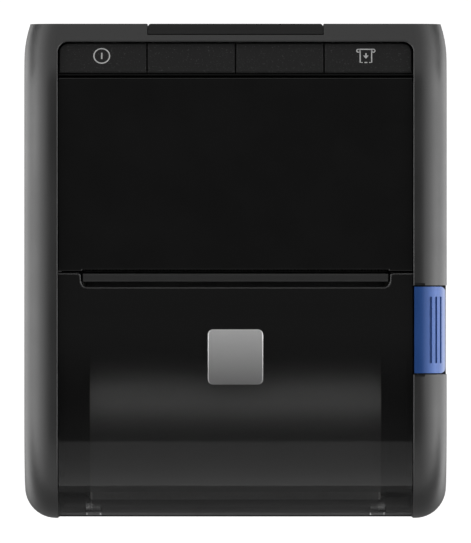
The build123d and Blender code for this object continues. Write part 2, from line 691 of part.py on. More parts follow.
IDLER_TOOTH = 2 * pi / IDLER_TEETH
IDLER_OFFSET = (PINION_TURN - LIFT_TURN) % IDLER_TOOTH
GEAR_SPAN = (-GEAR_OUT, -GEAR_IN)
with BuildPart() as platen_gear:
    gear_x(PLATEN_Y, PLATEN_Z, PLATEN_TEETH, LIFT_TURN + pi + pi / PLATEN_TEETH, GEAR_SPAN)
    rod_x(PLATEN_Y, PLATEN_Z, PLATEN_SHAFT_D / 2, GEAR_SPAN, mode=Mode.SUBTRACT)
save(platen_gear.part, "platen_gear")

with BuildPart() as idler_gear:
    gear_x(IDLER_Y, IDLER_Z, IDLER_TEETH, LIFT_TURN, GEAR_SPAN)
    with BuildSketch(Plane.YZ.offset(-GEAR_OUT)) as web:
        with Locations((IDLER_Y, IDLER_Z)):
            Circle(8.6)
            Circle(3.4, mode=Mode.SUBTRACT)
    extrude(web.sketch, amount=0.7, mode=Mode.SUBTRACT)
    rod_x(IDLER_Y, IDLER_Z, STUD_R + RUN_FIT, GEAR_SPAN, mode=Mode.SUBTRACT)
save(idler_gear.part, "idler_gear")

with BuildPart() as idler_stud:
    rod_x(IDLER_Y, IDLER_Z, STUD_R, (-BAY_HALF - RAIL_WALL, -GEAR_IN + 0.25))
    rod_x(IDLER_Y, IDLER_Z, STUD_R + 1.0, (-BAY_HALF, -GEAR_OUT - 0.2))
save(idler_stud.part, "idler_stud")

with BuildPart() as motor_pinion:
    phase = PINION_TURN + pi + pi / PINION_TEETH + IDLER_OFFSET * IDLER_TEETH / PINION_TEETH
    gear_x(PINION_Y, PINION_Z, PINION_TEETH, phase, GEAR_SPAN)
    rod_x(PINION_Y, PINION_Z, 1.0, (-GEAR_OUT, -CHEEK_IN + 6))
save(motor_pinion.part, "motor_pinion")

with BuildPart() as stepper_motor:
    motor_span = (-CHEEK_IN, -CHEEK_IN + MOTOR_LEN)
    rod_x(PINION_Y, PINION_Z, MOTOR_D / 2, motor_span)
    fillet(stepper_motor.edges(), 0.8)
    rod_x(PINION_Y, PINION_Z, 4.0, (-CHEEK_OUT, -CHEEK_IN))
    rod_x(PINION_Y, PINION_Z, 1.0 + RUN_FIT, (-CHEEK_OUT, -CHEEK_IN + 7), mode=Mode.SUBTRACT)
save(stepper_motor.part, "stepper_motor")

# Print frame: two sheet metal cheeks on feet, joined behind the print head
FRAME_BACK = (PRINT_Y + 7.3, PRINT_Y + 8.8)
HEAD_PIVOT = (PRINT_Y + 3.0, PLATEN_Z - 11.5)
with BuildPart() as print_frame:
    cheek = [
        (PLATEN_Y + 2.5, ROLL_Z - 6.5),
        (FRAME_BACK[0] + 1, ROLL_Z - 6.5),
        (FRAME_BACK[0] + 1, FLOOR_Z),
        (FRAME_END, FLOOR_Z),
        (FRAME_END, PLATEN_Z),
        (PRINT_Y + 5.3, UNDER_Z - 1),
        (PRINT_Y + 5.3, PLATEN_Z - 8),
        (PLATEN_Y + 2.5, PLATEN_Z - 10),
    ]
    for span in both_sides(CHEEK_IN, CHEEK_OUT):
        prism_x(cheek, span)
    for span in both_sides(CHEEK_IN, CHEEK_IN + 7):
        block(span, (FRAME_BACK[0] + 1, FRAME_END), (FLOOR_Z, FLOOR_Z + CHEEK_T))
    block((-CHEEK_OUT, CHEEK_OUT), FRAME_BACK, (LATCH_Z + 3, UNDER_Z - 1.4))
    rod_x(PINION_Y, PINION_Z, 4.0, (-CHEEK_OUT, -CHEEK_IN), mode=Mode.SUBTRACT)
    for span in both_sides(CHEEK_IN, CHEEK_OUT):
        rod_x(LATCH_Y, LATCH_Z, LATCH_SHAFT_D / 2 + RUN_FIT, span, mode=Mode.SUBTRACT)
        rod_x(*HEAD_PIVOT, 1.5, span, mode=Mode.SUBTRACT)
save(print_frame.part, "print_frame")

# Print head: a ceramic bar on a ribbed heat sink, which swings on a pin against two springs
HEAD_Y = PRINT_Y + 1.0
HEAD_TOP = UNDER_Z - 1.4
with BuildPart() as head_ceramic:
    block((-CARRIER_IN + SEAM, CARRIER_IN - SEAM), (PRINT_Y, HEAD_Y), (PLATEN_Z - 7, HEAD_TOP))
save(head_ceramic.part, "head_ceramic")

with BuildPart() as head_heatsink:
    span = (-CARRIER_IN + SEAM, CARRIER_IN - SEAM)
    block(span, (HEAD_Y, HEAD_Y + 4), (HEAD_PIVOT[1] - 2.6, HEAD_TOP))
    for step in range(4):
        rib_z = PLATEN_Z - 6 + 3 * step
        block(span, (HEAD_Y + 2.6, HEAD_Y + 4.1), (rib_z, rib_z + 1.4), mode=Mode.SUBTRACT)
    rod_x(*HEAD_PIVOT, 1.5 + RUN_FIT, span, mode=Mode.SUBTRACT)
save(head_heatsink.part, "head_heatsink")

with BuildPart() as head_pivot_pin:
    rod_x(*HEAD_PIVOT, 1.5, (-CHEEK_OUT, CHEEK_OUT))
save(head_pivot_pin.part, "head_pivot_pin")

with BuildPart() as head_springs:
    for x in (-MEDIA_W / 4, MEDIA_W / 4):
        with Locations((x, (HEAD_Y + 4 + FRAME_BACK[0]) / 2, PLATEN_Z + 2.5)):
            Cylinder(2.4, FRAME_BACK[0] - HEAD_Y - 4, rotation=(90, 0, 0))
            Cylinder(1.6, FRAME_BACK[0] - HEAD_Y - 4, rotation=(90, 0, 0), mode=Mode.SUBTRACT)
save(head_springs.part, "head_springs")

# Top panel: the gloss black front, with posts that carry the main board
with BuildPart() as top_panel:
    block((-COVER_HALF, COVER_HALF), (TEAR_Y, PANEL_END), (UNDER_Z, BAY_Z))
    block(
        (-NOTCH_HALF, NOTCH_HALF),
        (TEAR_Y - 1, TEAR_Y + TEAR_T),
        (UNDER_Z - 1, BAY_Z + 1),
        mode=Mode.SUBTRACT,
    )
    fillet(top_panel.edges().group_by(Axis.Z)[-1], 0.35)
    for x in (-BOARD_HALF + 5, BOARD_HALF - 5):
        for y in (BOARD_Y[0] + 5, BOARD_Y[1] - 7):
            rod_z(x, y, 2.5, (BOARD_Z + BOARD_T, UNDER_Z))
save(top_panel.part, "top_panel")

with BuildPart() as tear_bar:
    with BuildSketch(Plane.XZ.offset(-TEAR_Y)) as blade:
        with BuildLine():
            teeth = int(2 * NOTCH_HALF // TOOTH_PITCH)
            pitch = 2 * TEAR_HALF / teeth
            edge = [(-TEAR_HALF, UNDER_Z), (-TEAR_HALF, TEAR_ROOT_Z)]
            for tooth in range(teeth):
                x = -TEAR_HALF + pitch * tooth
                edge += [(x + pitch / 2, TEAR_ROOT_Z + TOOTH_H), (x + pitch, TEAR_ROOT_Z)]
            edge.append((TEAR_HALF, UNDER_Z))
            Polyline(*edge, close=True)
        make_face()
    extrude(blade.sketch, amount=-TEAR_T)
    block(
        (-TEAR_HALF, TEAR_HALF),
        (TEAR_Y, TEAR_Y + 5.0),
        (UNDER_Z - 0.6, UNDER_Z),
    )
save(tear_bar.part, "tear_bar")

# Keys on the sloped strip, their deck and the switches below
KEY_RUN = (1.5, 12.9)
KEY_PITCH = 2 * COVER_HALF / 4
DECK_DEPTH = KEY_T + KEY_TRAVEL + 0.4
STEM_HALF = 4.5
STEM_RUN = (5.6, 8.8)
KEYPAD_DEPTH = DECK_DEPTH + 4.1
KEY_NAMES = ("power_key", "left_blank_key", "right_blank_key", "feed_key")
for place, key_name in enumerate(KEY_NAMES):
    key_x = (place - 1.5) * KEY_PITCH
    reach = KEY_PITCH / 2 - KEY_GAP / 2
    with BuildPart() as key:
        on_slope((key_x - reach, key_x + reach), KEY_RUN, (0, KEY_T))
        if place in (0, 3):
            corner = (key_x + (place - 1.5) / 1.5 * reach, BAY_END, FRONT_Z)
            upright = key.edges().filter_by(Axis((0, 0, 0), slope_plane().z_dir))
            fillet(upright.sort_by_distance(corner)[0], BAY_CORNER_R - SEAM)
        chamfer(key.faces().sort_by(Axis((0, 0, 0), slope_plane().z_dir))[-1].edges(), 0.4)
        on_slope(
            (key_x - STEM_HALF, key_x + STEM_HALF), STEM_RUN, (KEY_T, KEYPAD_DEPTH - 1.0 - KEY_TRAVEL)
        )
    save(key.part, key_name)

with BuildPart() as key_deck:
    on_slope((-BAY_HALF, BAY_HALF), (0.6, 12.5), (DECK_DEPTH, DECK_DEPTH + 1.5))
    on_slope((-BAY_HALF, BAY_HALF), (0.6, 1.1), (0.6, DECK_DEPTH))
    for place in range(4):
        key_x = (place - 1.5) * KEY_PITCH
        on_slope(
            (key_x - STEM_HALF - SEAM, key_x + STEM_HALF + SEAM),
            (STEM_RUN[0] - SEAM, STEM_RUN[1] + SEAM),
            (DECK_DEPTH - 1, DECK_DEPTH + 2),
            mode=Mode.SUBTRACT,
        )
    for place in range(5):
        wall_x = (place - 2) * (2 * BAY_HALF - 2) / 4
        on_slope((wall_x - 1, wall_x + 1), (3, 11), (DECK_DEPTH + 1.5, KEYPAD_DEPTH))
save(key_deck.part, "key_deck")

with BuildPart() as keypad_board:
    on_slope((-BAY_HALF + 0.5, BAY_HALF - 0.5), (2, 12), (KEYPAD_DEPTH, KEYPAD_DEPTH + 1.0))
save(keypad_board.part, "keypad_board")

with BuildPart() as key_switches:
    for place in range(4):
        key_x = (place - 1.5) * KEY_PITCH
        on_slope((key_x - 3, key_x + 3), (4.2, 10.2), (KEYPAD_DEPTH - 0.6, KEYPAD_DEPTH))
        on_slope((key_x - 1.4, key_x + 1.4), (5.8, 8.6), (KEYPAD_DEPTH - 0.85, KEYPAD_DEPTH - 0.6))
save(key_switches.part, "key_switches")

# Latch: the button in the right rail, its spring, and the shaft with a crank and two hooks
ARM_Z = LATCH_Z + 2.3
ARM_X = (POST_X - 2.0, POST_X + 1.0)
SKIRT_X = HALF_W - WALL - 1.0
SPRING_R = SKIRT_X - SPRING_ROOM - POST_X
with BuildPart() as button_form:
    add(outer_form(BUTTON_SINK))
    add(outer_form(BUTTON_SINK + BUTTON_WALL), mode=Mode.SUBTRACT)
    add(outer_form(BUTTON_SINK).intersect(
        Box(2, LENGTH, FRONT_Z, align=Align.MIN, mode=Mode.PRIVATE).moved(
            Location((BAY_HALF + SEAM, HINGE_END, 0))
        )
    ))
    for end in (BUTTON_Y, BUTTON_END - BUTTON_WALL):
        add(outer_form(BUTTON_SINK).intersect(
            Box(RAIL_W + 1, BUTTON_WALL, FRONT_Z, align=Align.MIN, mode=Mode.PRIVATE).moved(
                Location((BAY_HALF + SEAM, end, 0))
            )
        ))

with BuildPart() as latch_button:
    add(button_form.part)
    with BuildSketch(Plane.XY.offset(BUTTON_LOW)) as outline:
        with Locations((BAY_HALF + SEAM, BUTTON_Y)):
            Rectangle(RAIL_W - SEAM - BUTTON_SINK, BUTTON_LEN, align=Align.MIN)
        fillet(outline.vertices().group_by(Axis.X)[-1], BUTTON_CORNER_R)
    extrude(amount=FRONT_Z - BUTTON_LOW, mode=Mode.INTERSECT)
    # finger grooves over the rounded edge and down the side
    groove_y = (BUTTON_Y + GROOVE_IN, BUTTON_END - GROOVE_IN)
    edge_x = HALF_W - EDGE_R
    edge_z = FRONT_Z - EDGE_R
    for turn in (29, 42, 56):
        groove_x = edge_x + (EDGE_R - BUTTON_SINK) * sin(radians(turn))
        groove_z = edge_z + (EDGE_R - BUTTON_SINK) * cos(radians(turn))
        with Locations((groove_x, sum(groove_y) / 2, groove_z)):
            Cylinder(GROOVE_R, groove_y[1] - groove_y[0], rotation=(90, 0, 0), mode=Mode.SUBTRACT)
    for drop in (1, 4, 7, 10):
        with Locations((HALF_W - BUTTON_SINK, sum(groove_y) / 2, edge_z - drop)):
            Cylinder(GROOVE_R, groove_y[1] - groove_y[0], rotation=(90, 0, 0), mode=Mode.SUBTRACT)
    # shelf with the spring's post, and the arm that presses the crank
    middle_y = (BUTTON_Y + BUTTON_END) / 2
    block((BAY_HALF + 2, HALF_W - 2), (BUTTON_Y + 1, BUTTON_END - 1), (ARM_Z, ARM_Z + 2))
    rod_z(POST_X, middle_y, SPRING_R - SPRING_WIRE - SPRING_FIT, (BUTTON_LOW - 4, ARM_Z + 1))
    block(
        (SKIRT_X, HALF_W - WALL - SEAM),
        (BUTTON_Y + 0.2, BUTTON_END - 0.2),
        (BUTTON_LOW - 2 * LATCH_TRAVEL + 1, BUTTON_LOW + 2),
    )
    finger_y = (LATCH_Y + CRANK_R - 0.8, LATCH_Y + CRANK_R + 2.2)
    block(ARM_X, (BUTTON_END - 2, finger_y[1]), (ARM_Z + 6.2, ARM_Z + 9.2))
    block(ARM_X, finger_y, (ARM_Z, ARM_Z + 9.2))
save(latch_button.part, "latch_button")

with BuildPart() as latch_spring:
    rod_z(POST_X, middle_y, SPRING_R, (SPRING_SEAT_Z, ARM_Z))
    rod_z(POST_X, middle_y, SPRING_R - SPRING_WIRE, (SPRING_SEAT_Z, ARM_Z), mode=Mode.SUBTRACT)
save(latch_spring.part, "latch_spring")

with BuildPart() as latch_shaft:
    rod_x(LATCH_Y, LATCH_Z, LATCH_SHAFT_D / 2, (-HOOK_OUT - 0.1, POST_X + 2.5))
save(latch_shaft.part, "latch_shaft")

with BuildPart() as latch_crank:
    rod_x(LATCH_Y, LATCH_Z, 4.2, ARM_X)
    rod_x(LATCH_Y + CRANK_R, LATCH_Z, 2.0, ARM_X)
    lever = [
        (LATCH_Y, LATCH_Z - 3.0),
        (LATCH_Y + CRANK_R, LATCH_Z - 1.9),
        (LATCH_Y + CRANK_R, LATCH_Z + 1.9),
        (LATCH_Y, LATCH_Z + 3.0),
    ]
    prism_x(lever, ARM_X)
    rod_x(LATCH_Y, LATCH_Z, LATCH_SHAFT_D / 2, ARM_X, mode=Mode.SUBTRACT)
save(latch_crank.part, "latch_crank")

# The hooks lean over the platen shaft, just clear of the path it lifts along
HOOK = [
    (PLATEN_Y + 1.6, PLATEN_Z + 3.2),
    (PLATEN_Y + 4.0, PLATEN_Z + 3.4),
    (LATCH_Y - 1.0, LATCH_Z + 4.0),
    (LATCH_Y - 3.4, LATCH_Z - 2.2),
    (PLATEN_Y + 4.6, PLATEN_Z - 3.6),
    (PLATEN_Y + 3.2, PLATEN_Z - 0.8),
    (PLATEN_Y + 2.9, PLATEN_Z + 1.4),
]
for side, hook_name in ((-1, "latch_hook_left"), (1, "latch_hook_right")):
    span = sorted((side * HOOK_IN, side * HOOK_OUT))
    with BuildPart() as hook:
        prism_x(HOOK, span)
        rod_x(LATCH_Y, LATCH_Z, 4.2, span)
        rod_x(LATCH_Y, LATCH_Z, LATCH_SHAFT_D / 2, span, mode=Mode.SUBTRACT)
    save(hook.part, hook_name)

# Label roll on its core, between the two sprung holders
with BuildPart() as label_roll:
    rod_x(ROLL_Y, ROLL_Z, ROLL_R, (-MEDIA_W / 2, MEDIA_W / 2))
    rod_x(ROLL_Y, ROLL_Z, CORE_D / 2, (-MEDIA_W / 2, MEDIA_W / 2), mode=Mode.SUBTRACT)
save(label_roll.part, "label_roll")

with BuildPart() as roll_core:
    rod_x(ROLL_Y, ROLL_Z, CORE_D / 2, (-MEDIA_W / 2, MEDIA_W / 2))
    rod_x(ROLL_Y, ROLL_Z, CORE_BORE_D / 2, (-MEDIA_W / 2, MEDIA_W / 2), mode=Mode.SUBTRACT)
save(roll_core.part, "roll_core")

HOLDER_T = 2.5
DISC_R = 16.0
RACK_MODULE = 1.0
RACK_TEETH = 16
RACK_Z = (FLOOR_Z + 0.9, FLOOR_Z + 3.3)
RACK_PITCH_R = RACK_MODULE * RACK_TEETH / 2


def rack(direction, x_span):
    """A toothed bar beside the pinion, on its +Y side for 1 and on its -Y side for -1."""
    root = RACK_PITCH_R + 1.2 * RACK_MODULE
    tip = RACK_PITCH_R - 0.8 * RACK_MODULE
    pitch = pi * RACK_MODULE
    at_pitch = pitch / 4 - 0.12 * RACK_MODULE
    at_root = at_pitch + 1.2 * RACK_MODULE * tan(PRESSURE)
    at_tip = at_pitch - 0.8 * RACK_MODULE * tan(PRESSURE)
    block(x_span, sorted((ROLL_Y + direction * root, ROLL_Y + direction * (root + 4))), RACK_Z)
    for tooth in range(-5, 5):
        x = (tooth + 0.5) * pitch
        with BuildSketch(Plane.XY.offset(RACK_Z[0])) as profile:
            with BuildLine():
                Polyline(
                    (x - at_root, ROLL_Y + direction * (root + 0.5)),
                    (x - at_root, ROLL_Y + direction * root),
                    (x - at_tip, ROLL_Y + direction * tip),
                    (x + at_tip, ROLL_Y + direction * tip),
                    (x + at_root, ROLL_Y + direction * root),
                    (x + at_root, ROLL_Y + direction * (root + 0.5)),
                    close=True,
                )
            make_face()
        extrude(profile.sketch, amount=RACK_Z[1] - RACK_Z[0])


for side, holder_name in ((-1, "roll_holder_left"), (1, "roll_holder_right")):
    inner = MEDIA_W / 2 + SEAM
    plate = sorted((side * inner, side * (inner + HOLDER_T)))
    hub = sorted((side * (inner - 8), side * inner))
    foot_y = sorted((ROLL_Y - side * ARM_HALF, ROLL_Y + side * (RACK_PITCH_R + 5.2)))
    with BuildPart() as holder:
        rod_x(ROLL_Y, ROLL_Z, DISC_R, plate)
        block(plate, (ROLL_Y - ARM_HALF, ROLL_Y + ARM_HALF), (RACK_Z[0], ROLL_Z))
        block(plate, foot_y, RACK_Z)
        rod_x(ROLL_Y, ROLL_Z, CORE_BORE_D / 2 - SEAM, hub)
        rod_x(ROLL_Y, ROLL_Z, CORE_BORE_D / 2 - 3, hub, mode=Mode.SUBTRACT)
        rack(side, sorted((side * (inner + HOLDER_T), -side * 17)))
    save(holder.part, holder_name)

with BuildPart() as holder_pinion:
    with BuildSketch(Plane.XY.offset(RACK_Z[0])) as outline:
        with BuildLine():
            corners = gear_outline(RACK_TEETH, RACK_MODULE, pi / 2)
            Polyline(*[(x, ROLL_Y + y) for x, y in corners], close=True)
        make_face()
    extrude(outline.sketch, amount=RACK_Z[1] - RACK_Z[0])
    rod_z(0, ROLL_Y, 5.0, (RACK_Z[1], RACK_Z[1] + 0.4))
    rod_z(0, ROLL_Y, 2.5 + RUN_FIT, (0, RACK_Z[1] + 1), mode=Mode.SUBTRACT)
save(holder_pinion.part, "holder_pinion")

with BuildPart() as holder_spring:
    rod_z(0, ROLL_Y, 4.4, (RACK_Z[1] + 0.6, RACK_Z[1] + 2.4))
    rod_z(0, ROLL_Y, 2.5, (RACK_Z[1] + 0.6, RACK_Z[1] + 2.4), mode=Mode.SUBTRACT)
save(holder_spring.part, "holder_spring")

# Battery: the sleeve in the case, and the pack with its cells and end cap
with BuildPart() as battery_sleeve:
    sleeve_y = (BATTERY_Y - 3.5, CAP_Y - 1)
    block((-SLEEVE_OUT, SLEEVE_OUT), sleeve_y, (FLOOR_Z, SLEEVE_TOP))
    block(
        (-SLEEVE_IN, SLEEVE_IN),
        (sleeve_y[0] + 2, sleeve_y[1] + 1),
        (FLOOR_Z - 1, SLEEVE_TOP - 2),
        mode=Mode.SUBTRACT,
    )
save(battery_sleeve.part, "battery_sleeve")

with BuildPart() as battery_contacts:
    for step in range(5):
        x = (step - 2) * 4
        block((x - 1, x + 1), (BATTERY_Y - 1.5, BATTERY_Y - 0.2), (BATTERY_Z + 16, BATTERY_Z + 24))
save(battery_contacts.part, "battery_contacts")

with BuildPart() as battery_case:
    block((-CAP_HALF, CAP_HALF), (BATTERY_Y, CAP_Y), (BATTERY_Z, BATTERY_Z + BATTERY_H))
    fillet(battery_case.edges().filter_by(Axis.Y), 2.0)
    block(
        (-CAP_HALF + SHELL_T, CAP_HALF - SHELL_T),
        (BATTERY_Y + SHELL_T, CAP_Y + 1),
        (BATTERY_Z + SHELL_T, BATTERY_Z + BATTERY_H - SHELL_T),
        mode=Mode.SUBTRACT,
    )
save(battery_case.part, "battery_case")

with BuildPart() as battery_cells:
    cell_pitch = CELL_D + 0.8
    for column in (-1, 0, 1):
        for row in (-0.5, 0.5):
            cell_z = BATTERY_Z + BATTERY_H / 2 + row * cell_pitch
            with Locations((column * cell_pitch, BATTERY_Y + SHELL_T + CELL_LEN / 2, cell_z)):
                Cylinder(CELL_D / 2, CELL_LEN, rotation=(90, 0, 0))
save(battery_cells.part, "battery_cells")

with BuildPart() as battery_end_cap:
    add(OUTSIDE)
    block((-CAP_HALF, CAP_HALF), (CAP_Y, KEY_END + 1), (0, FRONT_Z), mode=Mode.INTERSECT)
    fillet(battery_end_cap.edges().filter_by(Axis.Z).group_by(Axis.Y)[-1], 1.0)
save(battery_end_cap.part, "battery_end_cap")

# Main board with its parts, hanging from the panel's posts, and what it carries
with BuildPart() as main_board:
    block((-BOARD_HALF, BOARD_HALF), BOARD_Y, (BOARD_Z, BOARD_Z + BOARD_T))
    block(
        (PORT_X[0] + 1, -BOARD_HALF + 1),
        (DOOR_Y[0] + 1, DOOR_Y[1] - 1),
        (BOARD_Z, BOARD_Z + BOARD_T),
    )
    for x, y, width, depth, height in (
        (-22, PORT_Y - 2, 16, 16, 1.6),
        (2, PORT_Y + 6, 12, 10, 1.2),
        (-6, PORT_Y - 10, 8, 6, 2.2),
        (-40, BOARD_Y[1] - 20, 9, 9, 4.5),
    ):
        block(
            (x - width / 2, x + width / 2),
            (y - depth / 2, y + depth / 2),
            (BOARD_Z + BOARD_T, BOARD_Z + BOARD_T + height),
        )
save(main_board.part, "main_board")

with BuildPart() as radio_module:
    block((20, 44), (PORT_Y - 8, PORT_Y + 8), (BOARD_Z + BOARD_T, BOARD_Z + BOARD_T + 2.8))
    chamfer(radio_module.edges().group_by(Axis.Z)[-1], 0.4)
save(radio_module.part, "radio_module")

with BuildPart() as usb_port:
    block(PORT_X, (PORT_Y - 9.5, PORT_Y - 0.5), (BOARD_Z - 3.4, BOARD_Z))
    fillet(usb_port.edges().filter_by(Axis.X), 1.4)
    block(
        (PORT_X[0] - 1, PORT_X[1] - 1.5),
        (PORT_Y - 9.0, PORT_Y - 1.0),
        (BOARD_Z - 2.9, BOARD_Z - 0.5),
        mode=Mode.SUBTRACT,
    )
    block((PORT_X[0] + 1, PORT_X[1]), (PORT_Y - 8.0, PORT_Y - 2.0), (BOARD_Z - 2.0, BOARD_Z - 1.4))
save(usb_port.part, "usb_port")

with BuildPart() as dc_jack:
    block(PORT_X, (PORT_Y + 2.5, PORT_Y + 11.5), (BOARD_Z - 9.5, BOARD_Z))
    rod_x(PORT_Y + 7, BOARD_Z - 5, 2.9, (PORT_X[0] - 1, PORT_X[1] - 1.5), mode=Mode.SUBTRACT)
    rod_x(PORT_Y + 7, BOARD_Z - 5, 1.0, (PORT_X[0] + 1, PORT_X[1]))
save(dc_jack.part, "dc_jack")

with BuildPart() as port_door:
    block((DOOR_X, DOOR_X + DOOR_T), DOOR_Y, (DOOR_Z[0], DOOR_AXIS_Z))
    with Locations((DOOR_AXIS_X, PORT_Y, DOOR_AXIS_Z)):
        Cylinder(DOOR_T / 2, DOOR_Y[1] - DOOR_Y[0], rotation=(90, 0, 0))
        Cylinder(STUB_R, DOOR_Y[1] - DOOR_Y[0] + 2.4, rotation=(90, 0, 0))
    block(
        (DOOR_X - 0.001, DOOR_X + 0.5),
        (PORT_Y - 5, PORT_Y + 5),
        (DOOR_Z[0], DOOR_Z[0] + 1.2),
        mode=Mode.SUBTRACT,
    )
save(port_door.part, "port_door")

# The head's ribbon cable passes under the latch shaft to the board
with BuildPart() as head_ribbon:
    with BuildSketch(Plane.YZ.offset(-14)) as strip:
        with BuildLine() as route:
            FilletPolyline(
                (HEAD_Y + 4.6, LATCH_Z - 1.5),
                (HEAD_Y + 5.5, LATCH_Z - 4.5),
                (LATCH_Y + 6.5, LATCH_Z - 4.5),
                (BOARD_Y[0] + 3.0, BOARD_Z - 0.2),
                (BOARD_Y[0] + 8.0, BOARD_Z - 0.2),
                radius=1.2,
            )
            offset(route.line, amount=0.2, side=Side.BOTH)
        make_face()
    extrude(strip.sketch, amount=28)
save(head_ribbon.part, "head_ribbon")

# The sensor that sees the gaps between the labels sits on the back of the paper guide
with BuildPart() as media_sensor:
    seat = Plane(
        origin=(0, *around_roll(TUB_R, 360)),
        x_dir=(-1, 0, 0),
        z_dir=(0, GUIDE_FOOT[1] - ROLL_Z, ROLL_Y + TUB_R - GUIDE_FOOT[0]),
    )
    with BuildSketch(seat) as pad:
        with Locations((0, SENSOR_UP)):
            Rectangle(SENSOR_W, SENSOR_LEN)
    extrude(amount=SENSOR_T)
save(media_sensor.part, "media_sensor")
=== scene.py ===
import math

import bpy
import numpy as np
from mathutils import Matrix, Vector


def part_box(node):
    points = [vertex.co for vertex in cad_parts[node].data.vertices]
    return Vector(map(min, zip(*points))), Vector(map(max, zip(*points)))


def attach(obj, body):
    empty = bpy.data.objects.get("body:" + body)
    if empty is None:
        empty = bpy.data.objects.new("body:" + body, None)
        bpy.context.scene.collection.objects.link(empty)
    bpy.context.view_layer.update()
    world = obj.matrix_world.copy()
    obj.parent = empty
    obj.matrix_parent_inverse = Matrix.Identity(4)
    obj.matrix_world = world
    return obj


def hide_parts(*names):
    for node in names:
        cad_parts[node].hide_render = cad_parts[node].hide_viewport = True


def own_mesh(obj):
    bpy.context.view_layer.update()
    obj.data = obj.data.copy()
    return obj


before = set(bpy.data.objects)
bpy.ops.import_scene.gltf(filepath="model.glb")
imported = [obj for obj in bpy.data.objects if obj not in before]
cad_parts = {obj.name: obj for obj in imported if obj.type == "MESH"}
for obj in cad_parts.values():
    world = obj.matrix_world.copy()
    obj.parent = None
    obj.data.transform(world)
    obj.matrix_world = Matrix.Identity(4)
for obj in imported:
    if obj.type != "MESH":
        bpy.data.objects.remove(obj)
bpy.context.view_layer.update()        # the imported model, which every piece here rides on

# A portable label printer lying on its back: dark satin rails, a gloss panel, a smoked window over
# a roll of labels, four keys, a blue latch button and a plain silver badge.
# Sizes are millimetres, and go into the meshes as metres.

MM = 0.001

# Places of the printer that new pieces sit on
ROLL_Y, ROLL_Z = -52.0, 44.5
ROLL_R = 30.0
ROLL_HALF = 52.0
CORE_R = 12.7
HINGE_Y, HINGE_Z = -83.293, 24.946
HINGE_COILS = (-54.1, 48.4)  # x of each coil's left end
HINGE_COIL_LEN = 5.7
HEAD_COILS = (-26.0, 26.0)
HOLDER_COIL_Z = (7.45, 9.15)
SLOPE = math.radians(22)
SLOPE_START = (69.708, 79.5)  # y and z of the fold, where the keys' slope starts
KEY_MID = 7.82  # along the slope, from the fold to the middle of a key
KEY_PITCH = 31.6

# Places where a finish changes, or where light and shade are painted
# beyond this the tub's lower lip is painted paler grey, as painted light
LIP_END_Y = -86.9
# over these, and above TUB_EDGE_Z, a painted highlight runs along the tub's edge
TUB_EDGE_Y = (-79.1, -77.1)
TUB_EDGE_Z = 22.4
ROLL_SHADE_KEYWARD_Y = (-43, -20)  # the window's tint deepens over these, towards the print line, as painted shade on the roll's upper part
ROLL_SHADE_HINGEWARD_Y = (-60, -46)  # and over these, towards the hinge; the clear band between them paints the roll's highlight
WINDOW_END_Y = (-79.2, -78.6)
WINDOW_SIDE_X = (50.9, 51.5)
# beyond these the button's flanges are painted black, as painted shade
BUTTON_FACE_Y = (-36.28, -5.42)
# over these the badge is painted lighter towards the key end, as painted light
BADGE_Y = (-40.35, -20.65)
GLAZE_Z = (66.5, 73.5)
HEATER_Z = 70.0
# above this the ceramic's outer edge is black: partly an epoxy bead, partly painted shade
EPOXY_AND_SHADE_Z = 74.9


# Shader maths

class Wire:
    """One output of a node. Arithmetic on it adds Math nodes."""

    def __init__(self, board, socket):
        self.board = board
        self.socket = socket

    def maths(self, operation, *values):
        return self.board.node("Math", {"operation": operation}, dict(enumerate(values)))

    def __add__(self, other):
        return self.maths("ADD", self, other)

    def __sub__(self, other):
        return self.maths("SUBTRACT", self, other)

    def __rsub__(self, other):
        return self.maths("SUBTRACT", other, self)

    def __mul__(self, other):
        return self.maths("MULTIPLY", self, other)

    def __truediv__(self, other):
        return self.maths("DIVIDE", self, other)

    def __rtruediv__(self, other):
        return self.maths("DIVIDE", other, self)

    def __pow__(self, other):
        return self.maths("POWER", self, other)

    def __gt__(self, other):
        return self.maths("GREATER_THAN", self, other)

    def __lt__(self, other):
        return self.maths("LESS_THAN", self, other)

    def __abs__(self):
        return self.maths("ABSOLUTE", self)

    def zigzag(self, reach):
        """The value folded back and forth between 0 and reach."""
        return self.maths("PINGPONG", self, reach)

    __radd__ = __add__
    __rmul__ = __mul__


